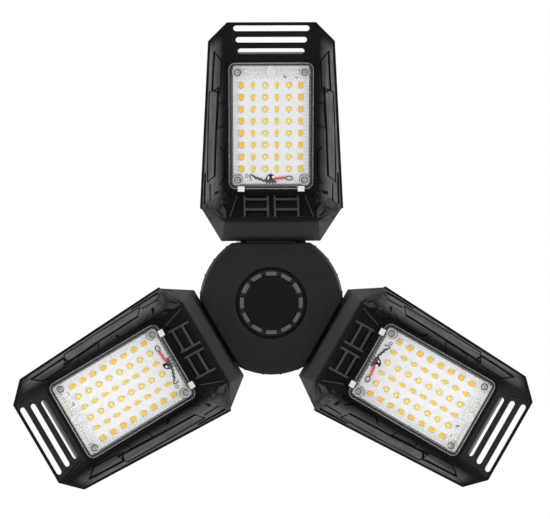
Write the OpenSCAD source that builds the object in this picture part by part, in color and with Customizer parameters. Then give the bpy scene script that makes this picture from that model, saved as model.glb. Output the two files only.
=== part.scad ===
// Three-panel folding ceiling light with a screw base.
// Frame: +Z points up along the screw base, the origin is on the lamp axis at the shoulder where the base
// shell meets the neck. The lamp hangs below it, and its lit side faces -Z. Sizes are in millimetres.

/* [Screw base] */
// Diameter over the thread crests
thread_d = 26.2; // [25:0.1:27]
// Depth of the rolled thread, crest to root
thread_depth = 0.9; // [0.5:0.1:1.2]
// Rise of the thread in one turn
thread_pitch = 3.63; // [3:0.01:4.2]
// Height of the metal shell
shell_h = 21; // [19:0.5:24]
// Plain collar below the thread
shell_collar_h = 3.5; // [2:0.5:5]
// Rounded shoulder above the thread
shell_shoulder_h = 1.6; // [1:0.1:2.5]
// Sheet thickness behind the thread roots
shell_wall = 0.5; // [0.4:0.1:0.9]
// Radius of the hole in the shell's top
shell_hole_r = 7; // [6:0.25:8]
// Height of the insulator cone
insulator_h = 4; // [3:0.5:6]
// Radius of the insulator's foot
insulator_r = 9.3; // [8.5:0.1:9.8]
// Depth of the insulator's plug inside the shell
insulator_plug_h = 3; // [2:0.5:4]
// Radius of the tip contact
contact_r = 4.8; // [4:0.1:5.5]
// Height of the domed tip contact
contact_h = 2.5; // [1.5:0.1:3.5]
// Radius of the tip contact's stem
contact_stem_r = 1.5; // [1:0.1:2]

/* [Neck] */
// Length of the neck, from the shoulder to the hub's back
neck_h = 74; // [66:1:90]
// Radius of the neck
neck_r = 24; // [22.5:0.1:24.2]
// Wall of the neck
neck_wall = 2; // [1.6:0.1:2.6]
// Radius of the collar under the screw base
collar_r = 17; // [15.5:0.1:19]
// Height of the collar
collar_h = 4; // [3:0.5:6]
// Height of the seat ring round the base shell's foot
seat_h = 0.6; // [0.4:0.1:1.5]
// Height of the cone between collar and neck
flare_h = 12; // [8:0.5:16]
// Height of the spigot inside the base shell
spigot_h = 13; // [10:0.5:15]
// Radius of the wire passage through the spigot
spigot_bore_r = 8; // [6:0.25:9]
// Number of cooling ribs round the neck
rib_count = 18; // [12:3:24]
// Width of a cooling rib
rib_w = 2; // [1.2:0.1:3]
// Height of a cooling rib above the neck
rib_out = 1.2; // [0.6:0.1:1.8]
// Thickness of the flange at the hub
flange_t = 3; // [2:0.5:5]

/* [Hub] */
// Distance from the lamp axis to each hinge axis
hinge_r = 35; // [34.5:0.1:37]
// Radius of the hub's round rim
hub_r = 44.8; // [43:0.1:48]
// Distance of each flat beyond its hinge axis
flat_out = 1; // [0.5:0.1:1.2]
// Height of the disc's back in front of the hinge axes
disc_rise = 6.5; // [6.2:0.1:8]
// Thickness of the disc's back plate
disc_plate = 2.5; // [2:0.1:4]
// Height of the front cover
cover_h = 8; // [7.5:0.1:11]
// Wall of the front cover
cover_wall = 2; // [1.6:0.1:2.4]
// Bevel of the round rim
rim_bevel = 1.5; // [0.8:0.1:2]
// Lean of the three flats, outwards over the cover's height
flat_lean = 1.8; // [0:0.1:2]
// Bevel of the three flats
flat_bevel = 1; // [0.5:0.1:2]
// Fall of the front face from rim to well
dish = 0.7; // [0.2:0.1:1]
// Radius of the round well in the middle
well_r = 22.5; // [21.5:0.1:24]
// Depth of the well
well_depth = 3; // [2:0.1:3.4]
// Slope of the well's wall, across
well_slope = 1.4; // [0.5:0.1:1.6]
// Number of grip ribs on each round arc of the rim
grip_count = 4; // [2:1:4]
// Share of each arc that the grip ribs spread over
grip_share = 0.92; // [0.5:0.01:0.93]
// Radius of a grip rib
grip_r = 0.9; // [0.6:0.1:1.2]
// Height of a grip rib above the rim
grip_out = 0.4; // [0.2:0.1:0.6]
// Distance from the hinge axes to the hub's back
hub_back = 10; // [8:0.5:12]
// Wall of the hub's drum
drum_wall = 2.5; // [2:0.1:3]
// Back plate of the hub's drum
drum_plate = 2; // [1.6:0.1:3]
// Radius of the cable hole in the drum's back plate
drum_hole_r = 12; // [10:0.5:13]

/* [Centre cap] */
// Radius of the notched ring
cap_ring_r = 19.7; // [18.5:0.1:20.4]
// Width of the notched ring
cap_ring_w = 2.6; // [2:0.1:3.2]
// Height of the notched ring
cap_ring_h = 3.4; // [2.5:0.1:4]
// Number of notches
notch_count = 12; // [8:1:16]
// Width of a notch
notch_w = 3; // [2:0.1:3.6]
// Depth of a notch, from the ring's face
notch_h = 2; // [1:0.1:2.3]
// Height of the centre disc
cap_disc_h = 3.8; // [2.5:0.1:4.5]
// Bevel of the centre disc's edge
cap_bevel = 0.7; // [0.3:0.1:1]

/* [Hinges] */
// Droop of panel a, at the photograph's top, as modelled
droop_a = 12; // [0:1:20]
// Droop of panel b, at the photograph's lower right, as modelled
droop_b = 18; // [0:1:20]
// Droop of panel c, at the photograph's lower left, as modelled
droop_c = 18; // [0:1:20]
// Radius of the panel's hinge barrel
barrel_r = 5.5; // [5.2:0.1:5.7]
// Length of the hinge barrel
barrel_len = 28; // [24:0.5:30]
// Radius of the hub's hinge ears
ear_r = 6; // [5.5:0.1:6.1]
// Width of the ear on the screw's side
screw_ear_w = 4; // [3:0.5:5]
// Width of the ear on the cable's side
cable_ear_w = 7; // [6.5:0.5:8]
// Thickness of a friction washer
washer_t = 0.9; // [0.6:0.1:1.4]
// Radius of a friction washer
washer_r = 5; // [4.8:0.1:5.2]
// Radius of the hinge screw's shank
pin_r = 2; // [1.5:0.1:2.2]
// Radius of the hinge screw's head
pin_head_r = 3.8; // [3:0.1:4.5]
// Height of the hinge screw's head
pin_head_h = 2.6; // [1.8:0.1:3.2]
// Radius across the corners of the lock nut
nut_r = 3.9; // [3.4:0.05:4]
// Height of the lock nut
nut_h = 3.2; // [2.4:0.1:4]
// Length of barrel between the nut and the screw's ear
nut_seat = 9.8; // [8:0.1:11]
// Outer radius of the hollow hinge bush
bush_r = 4; // [3.8:0.05:4.2]
// Bore radius of the hollow hinge bush
bush_bore_r = 2.6; // [2:0.1:2.8]
// Length of the hollow hinge bush
bush_len = 9; // [7:0.5:10]
// Depth of the bush in its ear
bush_seat = 2; // [1.5:0.5:2.5]
// Radial clearance of the hinge's running fits
running_gap = 0.05; // [0.02:0.01:0.1]

/* [Light window] */
// Distance from the hinge axis to the window's near edge
window_start = 37.3; // [37:0.1:42]
// Length of the window, outwards
window_len = 83.6; // [78:0.1:92]
// Width of the window
window_wid = 55.6; // [54:0.1:60]
// Corner radius of the window
window_corner = 6; // [4:0.5:8]
// Height of the window's plane in front of the hinge axis
window_w = 15.5; // [15.2:0.1:18]
// Depth of the window's straight edge
window_step = 1.1; // [0.6:0.1:1.3]
// Width of the ledge round the lens
ledge = 2.05; // [1.5:0.05:2.4]

/* [Hood] */
// Reach of the hood beyond the window's far edge
far_reach = 23.9; // [20:0.1:30]
// Rise of the far edge above the window
far_rise = 11; // [8:0.1:13]
// Half width of the far edge, less than the window's half width
far_narrow = 0.8; // [0:0.1:4]
// Distance from the far edge back to the far corners
far_cut = 11.5; // [8:0.1:15]
// Flare of the far corners beyond the window
far_flare = 10.7; // [8:0.1:13]
// Flare of the near corners beyond the window
near_flare = 16.2; // [13:0.1:18]
// Rise of the near corners above the window
near_rise = 16.2; // [13:0.1:18]
// Distance from the window back to the near corners
near_reach = 6.2; // [5:0.1:8]
// Distance from the window back to the ridge
ridge_reach = 13.8; // [12:0.1:15]
// Rise of the ridge above the window
ridge_rise = 17; // [14:0.1:19]
// Half width of the ridge beyond the window's half width
ridge_more = 1; // [0:0.1:2]
// Distance from the hinge axis to the nose's lower edge
nose_start = 5; // [4.9:0.1:6.5]
// Thickness of the hood's rim, seen from the front
rim_t = 1.8; // [1.4:0.1:2.4]
// Thickness of the hood round the window, seen from the front
collar_t = 3.2; // [2.8:0.1:3.8]
// Wall of the hollow nose
nose_wall = 2.2; // [1.6:0.1:2.8]
// Width of a cooling slot
slot_w = 3.7; // [2.5:0.1:4.2]
// Spacing of the cooling slots
slot_pitch = 7.45; // [6:0.05:8]
// Distance from the far edge to the first slot
slot_first = 3.9; // [3.4:0.1:4.5]
// Half length of the outermost slot
slot_half = 23.1; // [18:0.1:24]
// Shortening of each further slot, at each end
slot_taper = 1.4; // [0.5:0.1:2]
// Depth of the panel lines
line_depth = 1; // [0.5:0.1:1.2]
// Width of the thick panel lines
line_wide = 1.2; // [0.8:0.1:1.6]
// Width of the thin panel lines
line_thin = 0.7; // [0.4:0.1:1]
// Depth of the chevrons at the near corners
chevron_depth = 0.9; // [0.5:0.1:1.2]
// Width of a chevron
chevron_w = 1.9; // [1.2:0.1:2.4]
// Depth of the two windows in the near wall
tray_depth = 1.6; // [0.8:0.1:1.9]
// Width of a louvre in the near wall
louvre_w = 1.1; // [0.8:0.1:1.6]

/* [Heat sink] */
// Thickness of the main plate
plate_t = 4.5; // [3.5:0.1:5]
// Number of cooling fins
fin_count = 9; // [5:2:11]
// Thickness of a fin
fin_t = 1.8; // [1.2:0.1:2.4]
// Depth of the fins behind the plate
fin_h = 9.5; // [6:0.1:10]
// Thickness of the web under the nose
web_t = 2.6; // [2:0.1:3]
// Radius of a screw lug beside the plate
lug_r = 3.3; // [3:0.1:3.6]

/* [Light engine] */
// Number of light packages along a panel
led_rows = 8; // [4:1:8]
// Number of light packages across a panel
led_columns = 6; // [4:1:6]
// Spacing of the light packages along a panel
led_pitch_u = 7.45; // [6:0.05:7.6]
// Spacing of the light packages across a panel
led_pitch_v = 7.3; // [6:0.05:7.4]
// Length of a light package, across the panel
led_len = 3.5; // [2.8:0.1:3.6]
// Width of a light package
led_wid = 2.8; // [2:0.1:3]
// Height of a light package
led_h = 0.7; // [0.5:0.1:0.9]
// Thickness of the board
board_t = 1.2; // [1:0.1:1.6]
// Margin between the lens's edge and the board
board_margin_v = 2.1; // [2:0.1:2.6]
// Margin between the lens's end and the board
board_margin_u = 3; // [2:0.1:4]
// Gap between the ledge and the lens
lens_gap = 0.35; // [0.2:0.05:0.5]
// Thickness of the lens's front
lens_t = 1.4; // [1:0.1:1.8]
// Setback of the lens's face behind the window's plane
lens_setback = 0.3; // [0.1:0.1:0.5]
// Thickness of the lens's skirt
skirt_t = 1.2; // [0.8:0.1:1.4]
// Thickness of the lens's seal
seal_t = 0.6; // [0.4:0.1:0.8]
// Corner radius of the lens
lens_corner = 4.2; // [3:0.1:5]
// Radius of a lens boss
boss_r = 3.1; // [2.8:0.1:3.3]
// Inset of the lens bosses from the lens's sides
boss_inset_v = 4.7; // [4.5:0.1:5.2]
// Inset of the lens bosses from the lens's ends
boss_inset_u = 5.8; // [5.2:0.1:6.4]
// Length of a lens clip, across the panel
clip_len = 4.2; // [3:0.1:5]
// Place of the lens clips, from the panel's middle line
clip_v = 18.6; // [14:0.1:20]

/* [Screws and cables] */
// Radius of the small screws' shanks
screw_r = 1.2; // [1:0.05:1.3]
// Radius of the lens screws' heads
lens_head_r = 2.1; // [1.8:0.05:2.2]
// Radius of the other screws' heads
screw_head_r = 2.8; // [2.4:0.1:3]
// Height of the other screws' heads
screw_head_h = 2; // [1.4:0.1:2.2]
// Radius of a panel cable
cable_r = 1.4; // [1:0.1:1.5]
// Radius of a mains wire
wire_r = 0.9; // [0.6:0.1:1]

/* [Driver] */
// Width of the driver board
driver_wid = 39; // [34:0.5:39.5]
// Thickness of the driver board
driver_t = 1.6; // [1.2:0.1:1.8]
// Distance of the driver board behind the lamp axis
driver_back = 7; // [6.8:0.1:8]
// Height of the transformer
transformer_h = 18; // [14:0.5:19]
// Width of the transformer
transformer_w = 16; // [12:0.5:20]
// Depth of the transformer
transformer_d = 13; // [10:0.5:14]
// Radius of a capacitor
capacitor_r = 5; // [3.5:0.1:5.2]
// Length of a capacitor
capacitor_h = 15; // [10:0.5:16]

/* [Hidden] */

// Fineness of round parts, and number of sides of a cable
$fn = 64;
tube_sides = 10;
// Overlap that makes cuts and joined solids clean
cut = 1;
weld = 0.01;
// Clearances: press or push fit, screw in its hole, board in its slot, part beside part
fit_gap = 0.15;
screw_gap = 0.1;
slot_gap = 0.15;
side_gap = 0.4;

// The three panels: part a at the photograph's top, then every third of a turn
panel_count = 3;
first_azimuth = 90;
third = 360 / panel_count;
rest_droop = [droop_a, droop_b, droop_c];

// Levels along the lamp axis
hinge_z = -(neck_h + hub_back);
cover_w = disc_rise + disc_plate;
face_w = cover_w + cover_h;
well_floor_w = face_w - dish - well_depth;

// Radii round the lamp axis, and half the angle of each round arc of the hub
flat_r = hinge_r + flat_out;
arc_half = third / 2 - acos(flat_r / hub_r);
barrel_gap = 2;
drum_r = hinge_r - barrel_r - barrel_gap;
drum_bore_r = drum_r - drum_wall;
shell_bore_r = thread_d / 2 - thread_depth - shell_wall;

// Hinge, along its own axis
barrel_half = barrel_len / 2;
washer_play = 0.1;
ear_start = barrel_half + washer_t + washer_play;
cable_bore_r = bush_r + running_gap;
cable_turn = ear_start + bush_seat + cable_r + 0.2;
cable_clear = 0.4;
panel_turn = 4;
chase_u = 14;

// Window, lens and board, outwards (u) and across (v) from the hinge axis
window_end = window_start + window_len;
window_mid = window_start + window_len / 2;
window_half = window_wid / 2;
plate_w = window_w - plate_t;
collar_half = window_half + collar_t;
plate_start = window_start - collar_t;
plate_end = window_end + collar_t;
web_w = plate_w - plate_t;
lens_len = window_len - 2 * (ledge + lens_gap);
lens_wid = window_wid - 2 * (ledge + lens_gap);
lens_face_w = window_w - lens_setback;
lens_back_w = lens_face_w - lens_t;
ledge_w = window_w - window_step;
board_len = lens_len - 2 * board_margin_u;
board_wid = lens_wid - 2 * board_margin_v;
board_w = plate_w + board_t;
boss_u = lens_len / 2 - boss_inset_u;
boss_v = lens_wid / 2 - boss_inset_v;
boss_rise = 0.5;
boss_face_w = lens_face_w + boss_rise;
lens_head_h = 1.2;
lens_head_seat = boss_face_w - lens_head_h - 0.1;
board_hole_r = boss_r + 0.3;
led_shift = -0.8;
wire_hole_r = 2.2;
wire_hole_edge = 0.8;
wire_hole_u = window_start + ledge + lens_gap + board_margin_u + wire_hole_edge + wire_hole_r;

// Hood outline: the four corner points of one side, as [outwards, across, up]
far_edge = [window_end + far_reach, window_half - far_narrow, window_w + far_rise];
far_corner = [far_edge[0] - far_cut, window_half + far_flare, window_w + far_flare];
near_corner = [window_start - near_reach, window_half + near_flare, window_w + near_rise];
ridge_end = [window_start - ridge_reach, window_half + ridge_more, window_w + ridge_rise];
nose_edge = [nose_start, collar_half, disc_rise];
corner_steps = 6;
sky = 60;

// Screw lugs and bosses that hold hood and heat sink together
lug_v = collar_half + 2.4;
lug_from_end = 16;
hood_boss_r = 2.9;
hood_boss_h = 6.5;
hood_hole_depth = 5;
screw_bite = 4.5;

function flip(p) = [p[0], -p[1], p[2]];
function mix(a, b, t) = a + (b - a) * t;
function unit(v) = v / norm(v);
function plan(p) = [p[0], p[1]];

// Outward normal, seen from the front, of the edge from a to b of an outline that runs anticlockwise
function edge_normal(a, b) = let (d = unit(plan(b) - plan(a))) [d[1], -d[0]];
// Outline p moved inwards by t, seen from the front, with each point's height kept
function inset(p, t) = [for (i = [0:len(p) - 1]) let (
        before = edge_normal(p[(i + len(p) - 1) % len(p)], p[i]),
        after = edge_normal(p[i], p[(i + 1) % len(p)]),
        move = t * (before + after) / (1 + before * after))
    [p[i][0] - move[0], p[i][1] - move[1], p[i][2]]];
// Hood outline, anticlockwise from the far edge
rim = [far_edge, far_corner, near_corner, ridge_end,
    flip(ridge_end), flip(near_corner), flip(far_corner), flip(far_edge)];
// Loop of points on the rim, inset by t and lifted by rise: each cut corner is divided evenly
function rim_loop(t, rise = 0) = let (p = inset(rim, t)) [for (c = [0:3]) for (i = [0:corner_steps])
    mix(p[2 * c], p[2 * c + 1], i / corner_steps) + [0, 0, rise]];
// Loop of points round the window, grown by g at height w: each corner is an arc
function window_loop(g, w) = [for (c = [0:3]) for (i = [0:corner_steps]) let (
        a = 90 * (c + i / corner_steps),
        su = (c == 0 || c == 3) ? 1 : -1,
        sv = (c < 2) ? 1 : -1)
    [window_mid + su * (window_len / 2 - window_corner) + (window_corner + g) * cos(a),
        sv * (window_half - window_corner) + (window_corner + g) * sin(a), w]];

// Closed ring through a list of loops, the last one joined to the first
module loop_ring(loops) {
    n = len(loops[0]);
    m = len(loops);
    polyhedron([for (l = loops) for (p = l) p],
        [for (j = [0:m - 1]) for (i = [0:n - 1]) for (t = [0, 1]) let (
                a = j * n + i, b = j * n + (i + 1) % n,
                c = ((j + 1) % m) * n + (i + 1) % n, d = ((j + 1) % m) * n + i)
            t == 0 ? [a, b, c] : [a, c, d]], convexity = 6);
}

// Solid stack of loops from bottom to top, closed by flat ends
module loop_stack(loops) {
    n = len(loops[0]);
    m = len(loops);
    polyhedron([for (l = loops) for (p = l) p],
        concat([[for (i = [0:n - 1]) i]],
            [for (j = [0:m - 2]) for (i = [0:n - 1]) for (t = [0, 1]) let (
                    a = j * n + i, b = j * n + (i + 1) % n,
                    c = (j + 1) * n + (i + 1) % n, d = (j + 1) * n + i)
                t == 0 ? [a, c, b] : [a, d, c]],
            [[for (i = [n - 1:-1:0]) (m - 1) * n + i]]), convexity = 6);
}

// Rectangle with round corners, centred, drawn with true arcs
module round_rect(len_u, len_v, r) {
    square([len_u - 2 * r, len_v], center = true);
    square([len_u, len_v - 2 * r], center = true);
    for (su = [-1, 1], sv = [-1, 1]) translate([su * (len_u / 2 - r), sv * (len_v / 2 - r)]) circle(r);
}

// First ring of a tube: points round p, square to the direction d
function tube_start(p, d, r) = let (
        side = unit(cross(d, abs(d[2]) < 0.9 ? [0, 0, 1] : [1, 0, 0])),
        up = cross(side, d))
    [for (i = [0:tube_sides - 1]) let (a = 360 * i / tube_sides) p + r * (cos(a) * side + sin(a) * up)];
// Ring moved along the direction d onto the plane through p with normal n
function tube_slide(ring, d, p, n) = [for (q = ring) q + d * ((p - q) * n) / (d * n)];
// Rings of a mitred tube along a list of points, from ring i onwards
function tube_rings(points, i, ring) = i >= len(points) ? [ring] : let (
        d = unit(points[i] - points[i - 1]),
        after = i < len(points) - 1 ? unit(points[i + 1] - points[i]) : d)
    concat([ring], tube_rings(points, i + 1, tube_slide(ring, d, points[i], unit(d + after))));

// Round cable or wire along a list of points, mitred at each bend
module cable(points, r) {
    loop_stack(tube_rings(points, 1, tube_start(points[0], unit(points[1] - points[0]), r)));
}

// Cylinder along the hinge axis, from v0 to v1
module hinge_round(r, v0, v1, fn = $fn) {
    translate([0, v0, 0]) rotate([-90, 0, 0]) cylinder(h = v1 - v0, r = r, $fn = fn);
}

// From the working frame, whose +Z is the lit side and whose origin is level with the hinges, to the part's
module front_up() {
    translate([0, 0, hinge_z]) rotate([180, 0, 0]) children();
}

// The place of panel k's hinge axis in the working frame, at a given droop
module at_hinge(k, droop = 0) {
    rotate([0, 0, -first_azimuth - third * k]) translate([hinge_r, 0, 0]) rotate([0, -droop, 0]) children();
}

module at_panel(k) {
    front_up() at_hinge(k, rest_droop[k]) children();
}

// One place in the middle of each round arc of the hub, at radius r
module at_arcs(r) {
    for (k = [0:panel_count - 1])
        rotate([0, 0, -first_azimuth - third * k + third / 2]) translate([r, 0, 0]) children();
}

// ---------------------------------------------------------------- screw base

thread_sides = 32;
thread_rings = 30;
thread_end = shell_h - shell_shoulder_h;
thread_fade = 0.6;

// Radius of the shell at height z and angle a: a rounded thread that dies out at both ends
function shell_r(z, a) = let (
        inside = min(z - shell_collar_h, thread_end - z) / (thread_pitch * thread_fade),
        swell = max(0, min(1, inside)),
        shoulder = max(0, (z - thread_end) / shell_shoulder_h))
    (thread_d - thread_depth + swell * thread_depth * cos(360 * z / thread_pitch - a)
        - (1 - swell) * thread_depth * shoulder) / 2
        - (1 - sqrt(max(0, 1 - shoulder * shoulder))) * shell_shoulder_h;

module base_shell() {
    heights = concat([0, shell_collar_h],
        [for (i = [1:thread_rings]) shell_collar_h + (thread_end - shell_collar_h) * i / thread_rings],
        [for (i = [1:3]) thread_end + shell_shoulder_h * sin(30 * i)]);
    color("gainsboro") difference() {
        loop_stack([for (z = heights) [for (i = [0:thread_sides - 1]) let (a = 360 * i / thread_sides)
            [shell_r(z, a) * cos(a), shell_r(z, a) * sin(a), z]]]);
        translate([0, 0, -cut]) cylinder(h = shell_h - shell_wall * 2 + cut, r = shell_bore_r);
        cylinder(h = shell_h + cut, r = shell_hole_r);
    }
}

module base_insulator() {
    rounding = 0.4;
    tip_r = contact_r + 2 * rounding;
    color("#202024") difference() {
        union() {
            translate([0, 0, shell_h]) rotate_extrude() polygon([[0, 0], [insulator_r, 0],
                [insulator_r - rounding, insulator_h / 3], [tip_r, insulator_h], [0, insulator_h]]);
            translate([0, 0, shell_h - insulator_plug_h])
                cylinder(h = insulator_plug_h + weld, r = shell_hole_r - fit_gap);
        }
        translate([0, 0, shell_h - insulator_plug_h - cut])
            cylinder(h = insulator_plug_h + insulator_h + 2 * cut, r = contact_stem_r + screw_gap);
    }
}

module base_contact() {
    arc_steps = 8;
    foot_h = 0.5;
    color("#b08d57") {
        translate([0, 0, shell_h + insulator_h]) rotate_extrude() polygon(concat([[0, 0]],
            [for (i = [0:arc_steps]) let (a = 90 * i / arc_steps)
                [contact_r * cos(a), foot_h + (contact_h - foot_h) * sin(a)]]));
        translate([0, 0, shell_h - insulator_plug_h])
            cylinder(h = insulator_plug_h + insulator_h + weld, r = contact_stem_r);
    }
}

// ---------------------------------------------------------------- neck and driver

neck_bore_r = neck_r - neck_wall;
seat_inner_r = thread_d / 2 + 0.3;
driver_top = -(collar_h + flare_h + 2);
driver_bottom = -(neck_h - 2);
rail_t = 2.2;
rail_depth = 3;
neck_boss_r = 3.1;
neck_boss_h = 12;
neck_boss_floor = 2;
neck_screw_r = neck_bore_r - neck_boss_r + side_gap / 4;
rib_end_gap = 4;

module driver_housing() {
    color("#1b1c1e") difference() {
        union() {
            rotate_extrude() polygon([[0, 0], [seat_inner_r, 0], [seat_inner_r, seat_h], [collar_r, seat_h],
                [collar_r, -collar_h],
                [neck_r, -collar_h - flare_h], [neck_r, -neck_h + flange_t], [drum_r, -neck_h + flange_t],
                [drum_r, -neck_h], [0, -neck_h]]);
            cylinder(h = spigot_h, r = shell_bore_r - fit_gap);
            for (i = [0:rib_count - 1]) rotate([0, 0, 360 * (i + 0.5) / rib_count])
                translate([neck_bore_r + neck_wall / 2, -rib_w / 2, -neck_h + flange_t + rib_end_gap])
                    cube([neck_wall / 2 + rib_out, rib_w,
                        neck_h - flange_t - flare_h - collar_h - 2 * rib_end_gap]);
        }
        difference() {
            rotate_extrude() polygon([[0, -collar_h], [spigot_bore_r, -collar_h],
                [collar_r - neck_wall, -collar_h - neck_wall], [neck_bore_r, -collar_h - flare_h],
                [neck_bore_r, -neck_h - cut], [0, -neck_h - cut]]);
            for (s = [-1, 1]) translate([0, -driver_back + driver_t / 2, 0]) driver_rail(s);
            rotate([180, 0, 0]) at_arcs(neck_screw_r) translate([0, 0, neck_h - neck_boss_h])
                cylinder(h = neck_boss_h, r = neck_boss_r);
        }
        translate([0, 0, -collar_h - cut]) cylinder(h = spigot_h + collar_h + 2 * cut, r = spigot_bore_r);
        rotate([180, 0, 0]) at_arcs(neck_screw_r) translate([0, 0, neck_h - neck_boss_h + neck_boss_floor])
            cylinder(h = neck_boss_h, r = screw_r + screw_gap);
    }
}

// Slotted rail inside the neck that holds one edge of the driver board
module driver_rail(side) {
    half_t = driver_t / 2 + slot_gap;
    reach = driver_wid / 2 - rail_depth;
    difference() {
        translate([side > 0 ? reach : -neck_r, -half_t - rail_t, driver_bottom])
            cube([neck_r - reach, 2 * (half_t + rail_t), driver_top - driver_bottom]);
        translate([-driver_wid / 2 - slot_gap, -half_t, driver_bottom - cut])
            cube([driver_wid + 2 * slot_gap, 2 * half_t, driver_top - driver_bottom + 2 * cut]);
    }
}

module driver_board() {
    color("#2f6b3c") translate([-driver_wid / 2, -driver_back, driver_bottom])
        cube([driver_wid, driver_t, driver_top - driver_bottom]);
}

driver_face = -driver_back + driver_t;
terminal_wid = 18;
terminal_h = 8;
terminal_d = 12;
transformer_z = driver_bottom + terminal_h + 5;
capacitor_z = transformer_z + transformer_h + 3;
capacitor_x = 11;

module output_terminal() {
    color("#e8e4d8") translate([-terminal_wid / 2, driver_face, driver_bottom])
        cube([terminal_wid, terminal_d, terminal_h]);
}

module transformer() {
    core_t = 5;
    margin = 2;
    color("#3d3a36") translate([-transformer_w / 2, driver_face, transformer_z])
        cube([transformer_w, transformer_d, core_t]);
    color("#c9a227")
        translate([-transformer_w / 2 + margin, driver_face + margin / 2, transformer_z + core_t])
            cube([transformer_w - 2 * margin, transformer_d - margin, transformer_h - 2 * core_t]);
    color("#3d3a36") translate([-transformer_w / 2, driver_face, transformer_z + transformer_h - core_t])
        cube([transformer_w, transformer_d, core_t]);
}

module capacitors() {
    color("#22304f") for (s = [-1, 1])
        translate([s * capacitor_x, driver_face + capacitor_r, capacitor_z])
            cylinder(h = capacitor_h, r = capacitor_r);
}

module mains_leads() {
    solder_len = 6;
    start_z = driver_top - solder_len;
    plug_z = shell_h - insulator_plug_h;
    spread = 5;
    wire_y = driver_face + wire_r;
    color("ivory") cable([[spread, wire_y, start_z], [spread, wire_y, driver_top],
        [spread / 2, 0, 0], [spread / 2, 0, spigot_h], [0, 0, plug_z - 2 * wire_r], [0, 0, plug_z]], wire_r);
    color("#303030") cable([[-spread, wire_y, start_z], [-spread, wire_y, driver_top],
        [-spread / 2, 0, 0], [-spread / 2, 0, spigot_h + 2 * wire_r],
        [-shell_bore_r, 0, spigot_h + 2 * wire_r]], wire_r);
}

module neck_screws() {
    color("silver") front_up() at_arcs(neck_screw_r) translate([0, 0, -hub_back + drum_plate]) {
        cylinder(h = screw_head_h, r = screw_head_r);
        translate([0, 0, -drum_plate - neck_boss_h / 2])
            cylinder(h = drum_plate + neck_boss_h / 2 + weld, r = screw_r);
    }
}

// ---------------------------------------------------------------- hub

// Solid within the three flats, at a distance r from the lamp axis, from height w0 to w1
module within_flats(r, w0, w1) {
    wide = 4 * hub_r;
    intersection_for (k = [0:panel_count - 1]) rotate([0, 0, -first_azimuth - third * k])
        translate([r - wide, -wide / 2, w0]) cube([wide, wide, w1 - w0]);
}

cover_boss_r = 3.2;
arc_screw_r = hub_r - cover_wall - cover_boss_r - cover_wall;
cable_duct_r = cable_r + cable_clear;
duct_edge = cable_turn + cable_duct_r;
duct_inner_r = sqrt(drum_bore_r * drum_bore_r - duct_edge * duct_edge);

module hub_housing() {
    ear_bridge = 18;
    color("#1b1c1e") front_up() difference() {
        union() {
            translate([0, 0, -hub_back]) cylinder(h = hub_back + disc_rise + weld, r = drum_r);
            intersection() {
                translate([0, 0, disc_rise]) cylinder(h = disc_plate, r = hub_r);
                within_flats(flat_r, disc_rise, disc_rise + disc_plate);
            }
            for (k = [0:panel_count - 1]) at_hinge(k) {
                hinge_ear(ear_start, ear_start + screw_ear_w, ear_bridge);
                hinge_ear(-ear_start - cable_ear_w, -ear_start, ear_bridge);
            }
        }
        translate([0, 0, -hub_back + drum_plate]) cylinder(h = hub_back + cover_w, r = drum_bore_r);
        translate([0, 0, -hub_back - cut]) cylinder(h = drum_plate + 2 * cut, r = drum_hole_r);
        for (k = [0:panel_count - 1]) at_hinge(k) {
            hinge_round(pin_r + running_gap, ear_start - cut, ear_start + screw_ear_w + cut);
            hinge_round(cable_bore_r, -cable_turn - cable_duct_r - cable_clear, -ear_start + cut);
            translate([duct_inner_r - cut - hinge_r, -cable_turn, 0]) rotate([0, 90, 0])
                cylinder(h = hinge_r - duct_inner_r + cut, r = cable_duct_r);
        }
        at_arcs(arc_screw_r) translate([0, 0, disc_rise - cut])
            cylinder(h = disc_plate + 2 * cut, r = screw_r + fit_gap);
        at_arcs(neck_screw_r) translate([0, 0, -hub_back - cut])
            cylinder(h = drum_plate + 2 * cut, r = screw_r + fit_gap);
    }
}

// Hinge ear between v0 and v1, joined to the drum and to the disc's back
module hinge_ear(v0, v1, bridge) {
    hinge_round(ear_r, v0, v1);
    translate([-bridge, v0, -ear_r]) cube([bridge, v1 - v0, ear_r + disc_rise + weld]);
}

module cover_screws() {
    color("silver") front_up() at_arcs(arc_screw_r) translate([0, 0, disc_rise]) {
        translate([0, 0, -screw_head_h]) cylinder(h = screw_head_h, r = screw_head_r);
        translate([0, 0, -weld]) cylinder(h = disc_plate + screw_bite + weld, r = screw_r);
    }
}

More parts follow.
